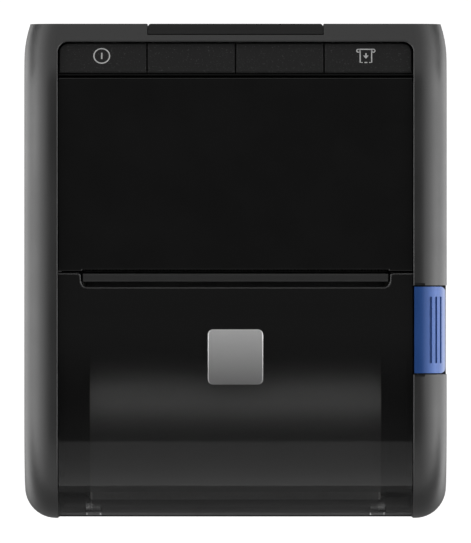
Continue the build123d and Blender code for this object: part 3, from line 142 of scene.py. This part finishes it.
class Board:
    """The node tree of a material or of the world, with the few nodes that every finish here uses."""

    def __init__(self, owner):
        owner.use_nodes = True
        self.tree = owner.node_tree
        self.tree.nodes.clear()

    def node(self, kind, settings=None, sockets=None, output=0):
        """Adds a node of a kind: its settings first, then its sockets' values or links."""
        made = self.tree.nodes.new("ShaderNode" + kind)
        for name, value in (settings or {}).items():
            setattr(made, name, value)
        for key, value in (sockets or {}).items():
            if isinstance(value, Wire):
                self.tree.links.new(value.socket, made.inputs[key])
            else:
                made.inputs[key].default_value = value
        return Wire(self, made.outputs[output]) if made.outputs else None

    def place(self, scale=None, turn=(0, 0, 0)):
        """Object coordinates, stretched and turned if a scale is given."""
        spot = self.node("TexCoord", output=3)
        return self.node("Mapping", None, {0: spot, 2: turn, 3: scale}) if scale else spot

    def axes(self):
        """The x, y and z of Object coordinates, in millimetres."""
        spot = self.node("VectorMath", {"operation": "SCALE"}, {0: self.place(), "Scale": 1 / MM})
        return [self.node("SeparateXYZ", None, {0: spot}, output=i) for i in range(3)]

    def noise(self, size, detail=2.0, rough=0.5, spot=None):
        """Cloudy variation from 0 to 1 whose features are about size millimetres across."""
        return self.node(
            "TexNoise", {"noise_dimensions": "3D"},
            {"Vector": spot or self.place(), "Scale": 1 / (size * MM), "Detail": detail,
             "Roughness": rough},
        )

    def cells(self, size, spot=None):
        """Distance within cells about size millimetres across."""
        return self.node(
            "TexVoronoi", {"feature": "F1"},
            {"Vector": spot or self.place(), "Scale": 1 / (size * MM)},
        )

    def between(self, value, low, high, to_low=0.0, to_high=1.0, smooth=True):
        """Value's place between low and high, carried over to another span and held at its ends."""
        return self.node(
            "MapRange", {"interpolation_type": "SMOOTHSTEP" if smooth else "LINEAR", "clamp": True},
            {0: value, 1: low, 2: high, 3: to_low, 4: to_high},
        )

    def band(self, value, low, high, soft):
        """1 from low to high, falling to 0 over a soft width inside each end."""
        return self.between(value, low, low + soft) * self.between(value, high - soft, high, 1.0, 0.0)

    def blend(self, share, first, second):
        """A colour that goes from first to second with share."""
        return self.node("Mix", {"data_type": "RGBA"}, {0: share, 6: first, 7: second}, output=2)

    def bump(self, height, depth):
        """Normals of a surface whose height, from 0 to 1, is depth millimetres."""
        return self.node("Bump", None, {"Height": height, "Distance": depth * MM, "Strength": 1.0})


def tint(red, green=None, blue=None):
    """A colour from display values of 0 to 255. One value gives a grey."""
    shades = (red, red if green is None else green, red if blue is None else blue)
    parts = [s / 255 for s in shades]
    light = [p / 12.92 if p <= 0.04045 else ((p + 0.055) / 1.055) ** 2.4 for p in parts]
    return (*light, 1.0)


def grey(light):
    """A neutral colour of that share of reflected light."""
    return (light, light, light, 1.0)


def finished(name, build):
    """A material that build lays out on a board and for which it returns the surface's sockets."""
    material = bpy.data.materials.new(name)
    board = Board(material)
    shader = board.node("BsdfPrincipled", None, build(board))
    board.node("OutputMaterial", None, {"Surface": shader})
    return material


# Finishes

def moulded(name, light, dark, rough, grain, depth, **fixed):
    """Moulded plastic: fine spark-eroded grain, cloudy shade and roughness, and a few rubbed spots."""
    def build(b):
        cloud = b.noise(28, 3)
        rubbed = b.between(b.noise(9, 4, 0.6), 0.6, 0.75)
        pits = b.noise(grain, 2, 0.7)
        return {
            "Base Color": b.blend(b.between(cloud, 0.35, 0.65), dark, light),
            "Roughness": b.between(cloud, 0.3, 0.7, rough + 0.04, rough - 0.03) - rubbed * 0.03,
            "Normal": b.bump(pits, depth),
            **fixed,
        }
    return finished(name, build)


def tub_plastic():
    """Black moulded plastic with fine grain, whose lower lip is painted paler grey as painted light
    and whose edge beside the hinge carries a painted highlight."""
    def build(b):
        x, y, z = b.axes()
        cloud = b.between(b.noise(28, 3), 0.35, 0.65)
        # painted light: the lower lip is lightened to a paler grey
        lip = b.between(y, LIP_END_Y - 0.1, LIP_END_Y, 1.0, 0.0)
        # painted highlight: a light line along the tub's edge beside the hinge
        edge = b.band(y, *TUB_EDGE_Y, 0.2) * b.between(z, TUB_EDGE_Z, TUB_EDGE_Z + 0.2)
        black = b.blend(cloud, grey(0.010), grey(0.014))
        return {
            "Base Color": b.blend(lip, b.blend(edge, black, grey(0.10)), grey(0.13)),
            "Roughness": b.between(cloud, 0.0, 1.0, 0.53, 0.47),
            "Normal": b.bump(b.noise(0.4, 2, 0.7), 0.015),
        }
    return finished("tub_plastic", build)


def glossy(name, colour, rough):
    """High-gloss moulding: faint wiping haze and a few hairline marks in the roughness."""
    def build(b):
        haze = b.noise(22, 4, 0.6)
        wiped = b.noise(1.2, 2, 0.5, b.place(scale=(1, 0.06, 1), turn=(0, 0, 0.5)))
        marks = b.between(wiped, 0.66, 0.72)
        return {
            "Base Color": b.blend(b.between(haze, 0.3, 0.7), colour, grey(colour[0] * 0.8)),
            "Roughness": b.between(haze, 0.35, 0.7, rough, rough + 0.03) + marks * 0.04,
            "Normal": b.bump(b.noise(14, 1), 0.004),
        }
    return finished(name, build)


def smoked():
    """Smoked clear plastic with faint wiping haze: clearest over the middle of the roll as a painted
    highlight on it, with a tint that deepens towards the print line and less so towards the hinge as
    painted shade on the roll, and thins at its lower end."""
    def build(b):
        x, y, z = b.axes()
        haze = b.noise(22, 4, 0.6)
        below = b.between(y, *WINDOW_END_Y, 1.0, 0.0)
        beside = b.between(abs(x), *WINDOW_SIDE_X)
        return {
            "Base Color": grey(0.0078),
            # painted light: the tint's clear band paints the roll's highlight, and its deeper ends
            # paint shade on the roll
            "Alpha": (
                b.between(y, *ROLL_SHADE_KEYWARD_Y, 0.42, 0.85) + b.between(y, *ROLL_SHADE_HINGEWARD_Y, 0.22, 0.0)
                - below * (0.08 + beside * 0.2) + haze * 0.02
            ),
            "Roughness": b.between(haze, 0.35, 0.7, 0.05, 0.08),
            "Normal": b.bump(b.noise(14, 1), 0.004),
            "Specular IOR Level": 0.8,
        }
    return finished("smoked_clear", build)


def rubbery(name, light, dark, rough=0.62):
    """Soft rubber: even matt skin with fine dust-like specks."""
    def build(b):
        specks = b.between(b.noise(0.5, 2), 0.62, 0.7)
        cloud = b.between(b.noise(11, 3), 0.35, 0.65)
        return {
            "Base Color": b.blend(specks * 0.35, b.blend(cloud, dark, light), grey(0.09)),
            "Roughness": rough + cloud * 0.06,
            "Normal": b.bump(b.noise(0.25, 2, 0.7), 0.01),
            "Specular IOR Level": 0.25,
        }
    return finished(name, build)


def turned(name, colour, rough, axis):
    """Turned or drawn metal: fine lines round its axis, and a little tarnish."""
    def build(b):
        stretch = [0.04, 0.04, 0.04]
        stretch[axis] = 1.0
        lines = b.noise(0.12, 2, 0.6, b.place(scale=tuple(stretch)))
        tarnish = b.between(b.noise(7, 3), 0.45, 0.75)
        return {
            "Base Color": b.blend(tarnish * 0.4, colour, grey(colour[0] * 0.55)),
            "Metallic": 1.0,
            "Roughness": b.between(lines, 0.3, 0.7, rough - 0.05, rough + 0.07) + tarnish * 0.06,
            "Normal": b.bump(lines, 0.004),
        }
    return finished(name, build)


def plated(name, colour, rough):
    """Zinc-plated sheet: rolled lines one way, crystal patches and small stains."""
    def build(b):
        rolled = b.noise(0.3, 3, 0.6, b.place(scale=(0.03, 1, 1)))
        crystals = b.cells(3.5)
        patches = b.blend(crystals, colour, grey(colour[0] * 0.85))
        stains = b.between(b.noise(5, 4, 0.6), 0.55, 0.75)
        return {
            "Base Color": b.blend(stains * 0.5, patches, grey(0.3)),
            "Metallic": 1.0,
            "Roughness": b.between(rolled, 0.3, 0.7, rough - 0.04, rough + 0.06) + crystals * 0.05,
            "Normal": b.bump(rolled, 0.006),
        }
    return finished(name, build)


def blue_lacquer():
    """Blue metallic lacquer under a clear coat, with fine flake and slight orange peel. The flanges
    at the button's two ends, down in the gaps, are painted black as painted shade."""
    def build(b):
        x, y, z = b.axes()
        # painted shade: the flanges down in the gaps are painted black
        flange_painted_shade = (y < BUTTON_FACE_Y[0]) + (y > BUTTON_FACE_Y[1])
        flakes = b.between(b.cells(0.22), 0.1, 0.6)
        lacquer = b.blend(flakes, (0.020, 0.092, 0.34, 1), (0.014, 0.072, 0.28, 1))
        cloud = b.noise(9, 3)
        return {
            "Base Color": b.blend(flange_painted_shade, lacquer, grey(0.006)),
            "Metallic": 0.45 * (1 - flange_painted_shade),
            "Roughness": b.between(cloud, 0.3, 0.7, 0.38, 0.44),
            "Coat Weight": b.between(cloud, 0.2, 0.8, 0.7, 0.8),
            "Coat Roughness": 0.25,
            "Normal": b.bump(b.noise(1.1, 2), 0.004),
        }
    return finished("latch_blue_lacquer", build)


def satin_silver():
    """A satin silver plate with fine blasted grain, painted lighter towards the key end as painted
    light.
    """
    def build(b):
        x, y, z = b.axes()
        # painted light: the plate's colour rises towards the key end
        painted_light_fall = b.between(y, *BADGE_Y, smooth=False)
        blasted = b.noise(0.16, 2, 0.7)
        return {
            "Base Color": b.blend(painted_light_fall, grey(0.265), grey(0.73)),
            "Metallic": 1.0,
            "Roughness": b.between(blasted, 0.3, 0.7, 0.48, 0.56),
            "Normal": b.bump(blasted, 0.005),
        }
    return finished("satin_silver", build)


TURN_STEP = 0.34  # from edge to edge of the turns that show at the roll's ends


def paper():
    """White label stock: soft fibres outside, and at the ends of the roll the edges of its turns."""
    def build(b):
        x, y, z = b.axes()
        radius = ((y - ROLL_Y) ** 2.0 + (z - ROLL_Z) ** 2.0) ** 0.5
        end = abs(x) > ROLL_HALF - 0.4
        turn = radius.maths("SINE", radius * (2 * math.pi / TURN_STEP)) * 0.5 + 0.5
        coarse = b.noise(0.9, 2, 0.6, b.node("CombineXYZ", None, {0: radius * MM}))
        edges = end * (turn * 0.35 + coarse * 0.65)
        fibres = b.noise(0.5, 4, 0.6)
        white = b.blend(b.between(fibres, 0.3, 0.7), tint(185, 185, 184), tint(195, 195, 194))
        return {
            "Base Color": b.blend(edges * 0.5, white, tint(166, 152, 124)),
            "Roughness": b.between(fibres, 0.3, 0.7, 0.32, 0.38),
            "Specular IOR Level": 1.0,
            "Normal": b.bump(fibres * 0.3 + edges, 0.03),
        }
    return finished("label_stock", build)


STRIP_W = 19.0  # of the board strips that the core is wound from


def kraft():
    """Brown board wound in a spiral, with fibres and the seams of its strips."""
    def build(b):
        x, y, z = b.axes()
        turn = y.maths("ARCTAN2", y - ROLL_Y, z - ROLL_Z)
        seam = (x + turn * (STRIP_W / math.pi)).zigzag(STRIP_W)
        line = seam < 0.35
        fibres = b.noise(0.7, 4, 0.65)
        brown = b.blend(b.between(fibres, 0.3, 0.7), tint(150, 118, 82), tint(172, 140, 102))
        return {
            "Base Color": b.blend(line * 0.6, brown, tint(96, 70, 45)),
            "Roughness": b.between(fibres, 0.3, 0.7, 0.7, 0.82),
            "Normal": b.bump(fibres - line * 0.6, 0.04),
        }
    return finished("kraft_board", build)


PAD_PITCH = 2.54


def circuit():
    """Circuit board: green mask over copper tracks, rows of tinned pads and white outlines."""
    def build(b):
        x, y, z = b.axes()
        spot = b.place(scale=(1, 1, 0))
        tracks = b.node("TexBrick", {"offset": 0.35, "squash": 0.6}, {
            "Vector": spot, "Scale": 1 / MM, "Mortar Size": 0.16, "Mortar Smooth": 0.1,
            "Brick Width": 3.4, "Row Height": 0.8, "Bias": 0.0}, output=1)
        dots = b.cells(PAD_PITCH, spot)
        pads = b.between(dots, 0.14, 0.17, 1.0, 0.0)
        green = b.blend(tracks, tint(16, 66, 38), tint(26, 96, 54))
        return {
            "Base Color": b.blend(pads, green, grey(0.62)),
            "Metallic": pads,
            "Roughness": b.between(b.noise(6, 3), 0.3, 0.7, 0.28, 0.4),
            "Normal": b.bump(tracks * 0.5 + pads, 0.03),
        }
    return finished("board_green_mask", build)


RIBBON_PITCH = 1.0


def ribbon_cable():
    """A flat cable: white film with conductors showing through as lines along Y."""
    def build(b):
        x, y, z = b.axes()
        wave = x.zigzag(RIBBON_PITCH / 2)
        wires = b.between(wave, 0.17, 0.24, 1.0, 0.0)
        return {
            "Base Color": b.blend(wires, tint(216, 214, 205), tint(176, 160, 132)),
            "Roughness": b.between(b.noise(4, 2), 0.3, 0.7, 0.35, 0.45),
            "Normal": b.bump(wires, 0.04),
        }
    return finished("ribbon_film", build)


CELL_PITCH = 18.8


def wrapped_cells():
    """Blue shrink film over round cells, with shallow wrinkles and its welded seam."""
    def build(b):
        x, y, z = b.axes()
        wrinkles = b.noise(2.2, 3, 0.6, b.place(scale=(1, 0.3, 1)))
        seam = b.between(x.zigzag(CELL_PITCH / 2), 0.3, 0.5, 1.0, 0.0)
        return {
            "Base Color": b.blend(seam * 0.5, tint(28, 84, 120), tint(18, 58, 88)),
            "Roughness": b.between(wrinkles, 0.3, 0.7, 0.25, 0.38),
            "Normal": b.bump(wrinkles + seam * 0.5, 0.06),
        }
    return finished("cell_film", build)


HEATER_PITCH = 0.25


def glazed_ceramic():
    """The print head's ceramic: pale alumina with a dark glazed band, a fine line of heaters and a
    black band along its outer edge, partly a bead of epoxy and partly painted shade."""
    def build(b):
        x, y, z = b.axes()
        glaze = b.band(z, *GLAZE_Z, 0.4)
        heaters = b.between(abs(z - HEATER_Z), 0.12, 0.2, 1.0, 0.0)
        dots = x.zigzag(HEATER_PITCH / 2) > 0.05
        leads = x.zigzag(HEATER_PITCH) > 0.12
        cloud = b.between(b.noise(2, 3), 0.3, 0.7)
        alumina = b.blend(cloud, tint(214, 210, 198), tint(226, 222, 212))
        dark = b.blend(leads * 0.5, tint(58, 50, 40), tint(122, 100, 58))
        # partly an epoxy bead and partly painted shade along the edge that lies down in the slot
        epoxy_and_shade = b.between(z, EPOXY_AND_SHADE_Z, EPOXY_AND_SHADE_Z + 0.2)
        face = b.blend(heaters * dots, b.blend(glaze, alumina, dark), tint(20, 17, 15))
        return {
            "Base Color": b.blend(epoxy_and_shade, face, grey(0.004)),
            "Roughness": b.between(b.noise(3, 2), 0.3, 0.7, 0.16, 0.24) + (1 - glaze) * 0.25,
            "Normal": b.bump(leads * glaze, 0.004),
        }
    return finished("glazed_ceramic", build)


def printed_light():
    """Pale grey ink, slightly uneven as printed."""
    def build(b):
        ink = b.noise(0.6, 3)
        return {
            "Base Color": b.blend(b.between(ink, 0.3, 0.7), tint(172), tint(186)),
            "Roughness": b.between(ink, 0.3, 0.7, 0.5, 0.6),
            "Normal": b.bump(ink, 0.003),
        }
    return finished("printed_grey", build)


FLOOR_SHOWN = 0.95  # what the camera sees of the floor's own glow
FLOOR_BESIDE = 2.0  # what the two sides of the printer get from it
BESIDE_X = (85, 140)  # where that side glow sets in
BESIDE_Y = (90, 150)  # and where it fades out, towards the two ends


def pale_floor():
    """A plain pale table top that shows evenly lit and throws little light back up."""
    def build(b):
        cloud = b.noise(400, 2)
        x, y, z = b.axes()
        seen = b.node("LightPath")
        beside = b.between(abs(x), *BESIDE_X) * b.between(abs(y), *BESIDE_Y, 1.0, 0.0)
        return {
            "Base Color": b.blend(b.between(cloud, 0.3, 0.7), grey(0.20), grey(0.22)),
            "Roughness": b.between(cloud, 0.3, 0.7, 0.7, 0.75),
            "Emission Color": seen * FLOOR_SHOWN + (1 - seen) * beside * FLOOR_BESIDE,
            "Emission Strength": 1.0,
        }
    return finished("pale_floor", build)


FINISHES = {
    "rail": moulded("rail_plastic", grey(0.0105), grey(0.0095), 0.40, 0.35, 0.012,
                    **{"Specular IOR Level": 0.9, "Sheen Weight": 0.08, "Sheen Roughness": 0.35}),
    "black": moulded("inner_black", grey(0.014), grey(0.010), 0.5, 0.4, 0.015),
    "cap": moulded("cap_plastic", grey(0.009), grey(0.008), 0.45, 0.35, 0.012,
                   **{"Specular IOR Level": 0.3}),
    "deck": moulded("deck_black", grey(0.004), grey(0.003), 0.6, 0.4, 0.015,
                    **{"Specular IOR Level": 0.1}),
    "tub": tub_plastic(),
    "gloss": glossy("panel_gloss", grey(0.0066), 0.05),
    "smoked": smoked(),
    "key": rubbery("key_rubber", grey(0.0085), grey(0.0075)),
    "blue": blue_lacquer(),
    "silver": satin_silver(),
    "paper": paper(),
    "kraft": kraft(),
    "platen": rubbery("platen_rubber", grey(0.014), grey(0.010), 0.7),
    "foot": rubbery("foot_rubber", grey(0.016), grey(0.011), 0.75),
    "steel_x": turned("steel_shaft", grey(0.56), 0.25, 0),
    "steel_z": turned("steel_screw", grey(0.52), 0.3, 2),
    "sheet": plated("zinc_sheet", grey(0.62), 0.34),
    "aluminium": turned("extruded_aluminium", grey(0.72), 0.36, 2),
    "ceramic": glazed_ceramic(),
    "brass": turned("machined_brass", (0.72, 0.5, 0.2, 1), 0.3, 2),
    "white_gear": moulded("gear_acetal", tint(226, 224, 214), tint(214, 211, 200), 0.42, 0.6, 0.004),
    "black_gear": moulded("gear_black_nylon", grey(0.016), grey(0.012), 0.45, 0.6, 0.006),
    "board": circuit(),
    # the tear bar's steel is darkened as painted shade, where it lies down in the slot
    "dark_steel_shade": turned("dark_steel_painted_shade", grey(0.004), 0.5, 0),
    "spring": turned("spring_wire", grey(0.5), 0.28, 2),
    "cells": wrapped_cells(),
    "ribbon": ribbon_cable(),
    "ink": printed_light(),
}

COATS = {
    "rail": ["front_housing", "back_case"],
    "black": [
        "platen_carrier", "roll_holder_left", "roll_holder_right",
        "media_sensor", "battery_case", "battery_sleeve", "dc_jack",
    ],
    "deck": ["key_deck"],
    "tub": ["media_tub"],
    "cap": ["battery_end_cap"],
    "gloss": ["top_panel"],
    "smoked": ["media_cover"],
    "key": ["power_key", "left_blank_key", "right_blank_key", "feed_key"],
    "blue": ["latch_button"],
    "silver": ["cover_badge"],
    "kraft": ["roll_core"],
    "platen": ["platen_rubber"],
    "foot": ["rubber_feet", "port_door"],
    "steel_x": ["hinge_pin", "head_pivot_pin", "platen_shaft", "latch_shaft", "idler_stud"],
    # the tear bar is darkened as painted shade
    "dark_steel_shade": ["tear_bar"],
    "steel_z": ["case_screws", "key_switches", "usb_port"],
    "sheet": [
        "hinge_clips", "print_frame", "latch_hook_left", "latch_hook_right", "stepper_motor",
        "radio_module",
    ],
    "aluminium": ["head_heatsink"],
    "ceramic": ["head_ceramic"],
    "brass": ["accessory_inserts", "motor_pinion", "battery_contacts"],
    "white_gear": ["idler_gear", "holder_pinion", "platen_bushings"],
    "black_gear": ["platen_gear", "latch_crank"],
    "board": ["main_board", "keypad_board"],
    "cells": ["battery_cells"],
    "ribbon": ["head_ribbon"],
}
for finish, nodes in COATS.items():
    for node in nodes:
        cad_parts[node].data.materials[0] = FINISHES[finish]


# New pieces

def skin(points, wrap_rows=False, wrap_columns=False, caps=False):
    """Vertices and faces of a grid of points, rows by columns by 3. A wrap joins the last row or
    column to the first, and caps close the first and the last row with one face each."""
    rows, columns = points.shape[:2]
    number = np.arange(rows * columns).reshape(rows, columns)
    down = np.roll(number, -1, 0) if wrap_rows else number[1:]
    here = number if wrap_rows else number[:-1]
    if wrap_columns:
        corners = (here, down, np.roll(down, -1, 1), np.roll(here, -1, 1))
    else:
        corners = (here[:, :-1], down[:, :-1], down[:, 1:], here[:, 1:])
    faces = [list(f) for f in np.stack(corners, -1).reshape(-1, 4).tolist()]
    if caps:
        faces += [number[0].tolist(), number[-1][::-1].tolist()]
    return points.reshape(-1, 3), faces


def make(name, skins, finish, body, stands_for=(), crease=35):
    """One piece of several skins: its faces turned outwards, smooth up to the crease angle, riding
    on its body."""
    vertices, faces, start = [], [], 0
    for points, quads in skins:
        triangles = np.array([(f[0], f[i], f[i + 1]) for f in quads for i in range(1, len(f) - 1)])
        a, b, c = (points[triangles[:, i]] for i in range(3))
        volume = np.einsum("ij,ij->", a, np.cross(b, c))
        vertices.append(points)
        faces += [[v + start for v in (f if volume > 0 else f[::-1])] for f in quads]
        start += len(points)
    mesh = bpy.data.meshes.new(name)
    mesh.from_pydata(np.concatenate(vertices) * MM, [], faces)
    mesh.shade_smooth()
    mesh.set_sharp_from_angle(angle=math.radians(crease))
    mesh.materials.append(FINISHES[finish])
    piece = bpy.data.objects.new(name, mesh)
    bpy.context.scene.collection.objects.link(piece)
    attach(piece, body)
    if stands_for:
        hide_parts(*stands_for)
    return piece


def coil(start, axis, radius, wire, length, turns, steps=28, sides=10):
    """A round wire wound about an axis: the angle grows evenly, the height grows by a wire for each
    of the two closed end turns and evenly between them, and a circle is carried along that path."""
    axis, start = np.array(axis, float), np.array(start, float)
    across = np.cross(axis, (0.0, 1.0, 0.0) if abs(axis[1]) < 0.5 else (1.0, 0.0, 0.0))
    beside = np.cross(axis, across)
    turn = np.linspace(0, turns, int(turns * steps) + 1)
    rise = (0.5 * wire, 1.5 * wire, length - 1.5 * wire, length - 0.5 * wire)
    height = np.interp(turn, (0, 1, turns - 1, turns), rise)
    angle = turn * 2 * np.pi
    outward = np.outer(np.cos(angle), across) + np.outer(np.sin(angle), beside)
    middle = start + outward * radius + np.outer(height, axis)
    around = np.linspace(0, 2 * np.pi, sides, endpoint=False)
    ring = outward[:, None] * np.cos(around)[None, :, None] + axis * np.sin(around)[None, :, None]
    return skin(middle[:, None] + ring * wire / 2, wrap_columns=True, caps=True)


def wound_roll():
    """A roll about the printer's roll axis: a closed section of bore, ends and outside is carried
    round it, and the outside draws in by one thickness over the turn, so the last edge shows."""
    around = np.linspace(0, 2 * np.pi, 256, endpoint=False)
    rings = 24
    stock = 0.16
    soft = 0.12
    core_gap = 0.02
    shy = 0.0429  # less than the plain roll at the outermost edge, before the core's gap is added
    along = np.concatenate([
        [-ROLL_HALF, -ROLL_HALF],
        np.linspace(-ROLL_HALF + soft, ROLL_HALF - soft, rings),
        [ROLL_HALF, ROLL_HALF],
    ])
    outer = np.concatenate([[0.0, 1.0 - soft / ROLL_R], np.ones(rings), [1.0 - soft / ROLL_R, 0.0]])
    reach = ROLL_R - shy - stock * around / (2 * np.pi)
    radius = CORE_R + core_gap + (reach[None, :] - CORE_R) * outer[:, None]
    points = np.stack([
        np.broadcast_to(along[:, None], radius.shape),
        ROLL_Y + radius * np.cos(around),
        ROLL_Z + radius * np.sin(around),
    ], -1)
    return skin(points, wrap_rows=True, wrap_columns=True)


def spiral_strip(centre, inner, outer, low, high, turns, thick):
    """A flat spring: a rectangular section carried along a spiral whose radius grows evenly."""
    turn = np.linspace(0, 1, int(turns * 40) + 1)
    angle = turn * turns * 2 * np.pi
    radius = inner + (outer - inner) * turn
    sides = [(-thick / 2, low), (thick / 2, low), (thick / 2, high), (-thick / 2, high)]
    points = np.stack([
        np.stack([
            centre[0] + (radius + out) * np.cos(angle),
            centre[1] + (radius + out) * np.sin(angle),
            np.full_like(angle, height),
        ], -1)
        for out, height in sides
    ], 1)
    return skin(points, wrap_columns=True, caps=True)


INK_UP = 0.03  # how far the ink stands above the key
INK_W = 0.42


def on_key(flat, key_x):
    """Points given across and along a key's face, and up from it, in the printer's frame."""
    across, along, up = flat[..., 0], flat[..., 1], flat[..., 2]
    run = KEY_MID + along
    return np.stack([
        key_x + across,
        SLOPE_START[0] + run * math.cos(SLOPE) + up * math.sin(SLOPE),
        SLOPE_START[1] - run * math.sin(SLOPE) + up * math.cos(SLOPE),
    ], -1)


def stroke(path, key_x, width=INK_W, closed=False):
    """An inked line: a flat section carried along a path in the key's face, square to the path."""
    path = np.array(path, float)
    step = np.roll(path, -1, 0) - np.roll(path, 1, 0)
    if not closed:
        step[0], step[-1] = path[1] - path[0], path[-1] - path[-2]
    step /= np.linalg.norm(step, axis=1)[:, None]
    side = np.stack([-step[:, 1], step[:, 0]], -1) * width / 2
    rows = [np.concatenate([path + way * side, np.full((len(path), 1), up)], 1)
            for way, up in ((-1, 0.0), (1, 0.0), (1, INK_UP), (-1, INK_UP))]
    return skin(on_key(np.stack(rows, 1), key_x), wrap_rows=closed, wrap_columns=True, caps=not closed)


def patch(corners, key_x):
    """An inked area: a flat polygon in the key's face, with its thickness."""
    corners = np.array(corners, float)
    rings = [np.concatenate([corners, np.full((len(corners), 1), up)], 1) for up in (0.0, INK_UP)]
    return skin(on_key(np.stack(rings), key_x), wrap_columns=True, caps=True)


def round_path(centre, radius, steps=48):
    """Points round a circle."""
    angle = np.linspace(0, 2 * np.pi, steps, endpoint=False)
    return np.stack([centre[0] + radius * np.cos(angle), centre[1] + radius * np.sin(angle)], -1)


make("wound_labels", [wound_roll()], "paper", "roll", ["label_roll"])

make("hinge_coils", [
    coil((left, HINGE_Y, HINGE_Z), (1, 0, 0), radius=2.35, wire=0.8, length=HINGE_COIL_LEN, turns=5.5)
    for left in HINGE_COILS
], "spring", "root", ["hinge_springs"])

head_lo, head_hi = (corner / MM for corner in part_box("head_springs"))
head_mid = (head_lo + head_hi) / 2
head_coils = make("head_coils", [
    coil((x, head_lo.y, head_mid.z), (0, 1, 0), radius=2.1, wire=0.5, length=head_hi.y - head_lo.y,
         turns=3.2)
    for x in HEAD_COILS
], "spring", "root", ["head_springs"])
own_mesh(head_coils)

latch_lo, latch_hi = (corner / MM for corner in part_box("latch_spring"))
latch_mid = (latch_lo + latch_hi) / 2
latch_coil = make("latch_coil", [
    coil((latch_mid.x, latch_mid.y, latch_lo.z), (0, 0, 1), radius=2.25, wire=0.7,
         length=latch_hi.z - latch_lo.z, turns=11)
], "spring", "root", ["latch_spring"])
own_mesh(latch_coil)

make("holder_coil", [
    spiral_strip((0.0, ROLL_Y), 2.4, 4.25, *HOLDER_COIL_Z, turns=3.5, thick=0.25)
], "spring", "root", ["holder_spring"])

# The two symbols sit a little left of their keys' middles
power_x = -1.5 * KEY_PITCH - 0.35
make("power_symbol", [
    stroke(round_path((0.0, 0.0), 2.8), power_x, closed=True),
    stroke([(0.0, -1.2), (0.0, 1.2)], power_x, 0.5),
], "ink", "power_key")

feed_x = 1.5 * KEY_PITCH - 0.85
make("feed_symbol", [
    stroke([(-2.7, 2.55), (2.7, 2.55)], feed_x),
    stroke(round_path((-2.68, 2.0), 0.58, 24), feed_x, 0.36, closed=True),
    stroke(round_path((2.68, 2.0), 0.58, 24), feed_x, 0.36, closed=True),
    stroke([(-2.05, 2.35), (-2.05, -2.55), (-1.2, -2.55)], feed_x),
    stroke([(2.05, 2.35), (2.05, -2.55), (1.2, -2.55)], feed_x),
    stroke([(-0.5, -2.55), (0.5, -2.55)], feed_x),
    stroke([(0.0, 1.05), (0.0, 0.0)], feed_x, 0.5),
    patch([(-1.0, 0.15), (1.0, 0.15), (0.0, -1.05)], feed_x),
], "ink", "feed_key")


# Floor, light and camera

# The studio's brightness: low down and high up, at the printer's sides and beyond its two ends
LOW_SIDES, LOW_KEY_END, LOW_HINGE_END = 5.0, 0.72, 0.8
HIGH_SIDES, HIGH_KEY_END, HIGH_HINGE_END = 0.8, 0.50, 0.33
BAND_TOP_Z = 0.86
DARK_FROM_Z, DARK_FULL_Z = 0.855, 0.885
OVERHEAD = 0.06


def studio_light(b):
    """Brightness of the surroundings by direction: a bright band from the horizon up to an edge,
    strongest at the two sides, and a dark patch overhead."""
    way = b.node("TexCoord", output=0)
    x, y, z = (b.node("SeparateXYZ", None, {0: way}, output=i) for i in range(3))
    flat = z.maths("MAXIMUM", 1 - z * z, 0.01)
    sides = x * x / flat
    ends = y * y / flat
    far = y > 0.0
    low = sides ** 1.6 * LOW_SIDES + ends * (far * LOW_KEY_END + (1 - far) * LOW_HINGE_END)
    high = sides * HIGH_SIDES + ends * (far * HIGH_KEY_END + (1 - far) * HIGH_HINGE_END)
    rise = b.between(z, 0.0, BAND_TOP_Z, smooth=False) ** 0.55
    band = low * (1 - rise) + high * rise
    overhead = b.between(z, DARK_FROM_Z, DARK_FULL_Z)
    return band * (1 - overhead) + overhead * OVERHEAD


world = bpy.data.worlds.new("studio")
bpy.context.scene.world = world
sky = Board(world)
glow = sky.node("Background", None, {"Color": studio_light(sky), "Strength": 1.0})
sky.node("OutputWorld", None, {"Surface": glow})

FLOOR_HALF = 30000.0
corners = [(-1, -1, 0), (1, -1, 0), (1, 1, 0), (-1, 1, 0)]
floor_mesh = bpy.data.meshes.new("floor")
floor_mesh.from_pydata(
    np.array(corners) * FLOOR_HALF * MM,
    [], [(0, 1, 2, 3)],
)
floor_mesh.materials.append(pale_floor())
floor = bpy.data.objects.new("floor", floor_mesh)
bpy.context.scene.collection.objects.link(floor)

VIEW_TALL = 194.3  # what the picture takes in from its lower to its upper edge
VIEW_Z = 64.0  # height above the table at which it takes in that much
LENS, SENSOR = 1000.0, 36.0
camera_data = bpy.data.cameras.new("camera")
camera_data.lens = LENS
camera_data.sensor_width = SENSOR
camera_data.clip_end = 50.0
camera = bpy.data.objects.new("camera", camera_data)
camera.location = (0, 0, (VIEW_Z + VIEW_TALL * LENS / SENSOR) * MM)
bpy.context.scene.collection.objects.link(camera)
bpy.context.scene.camera = camera
bpy.context.scene.view_settings.view_transform = "Standard"
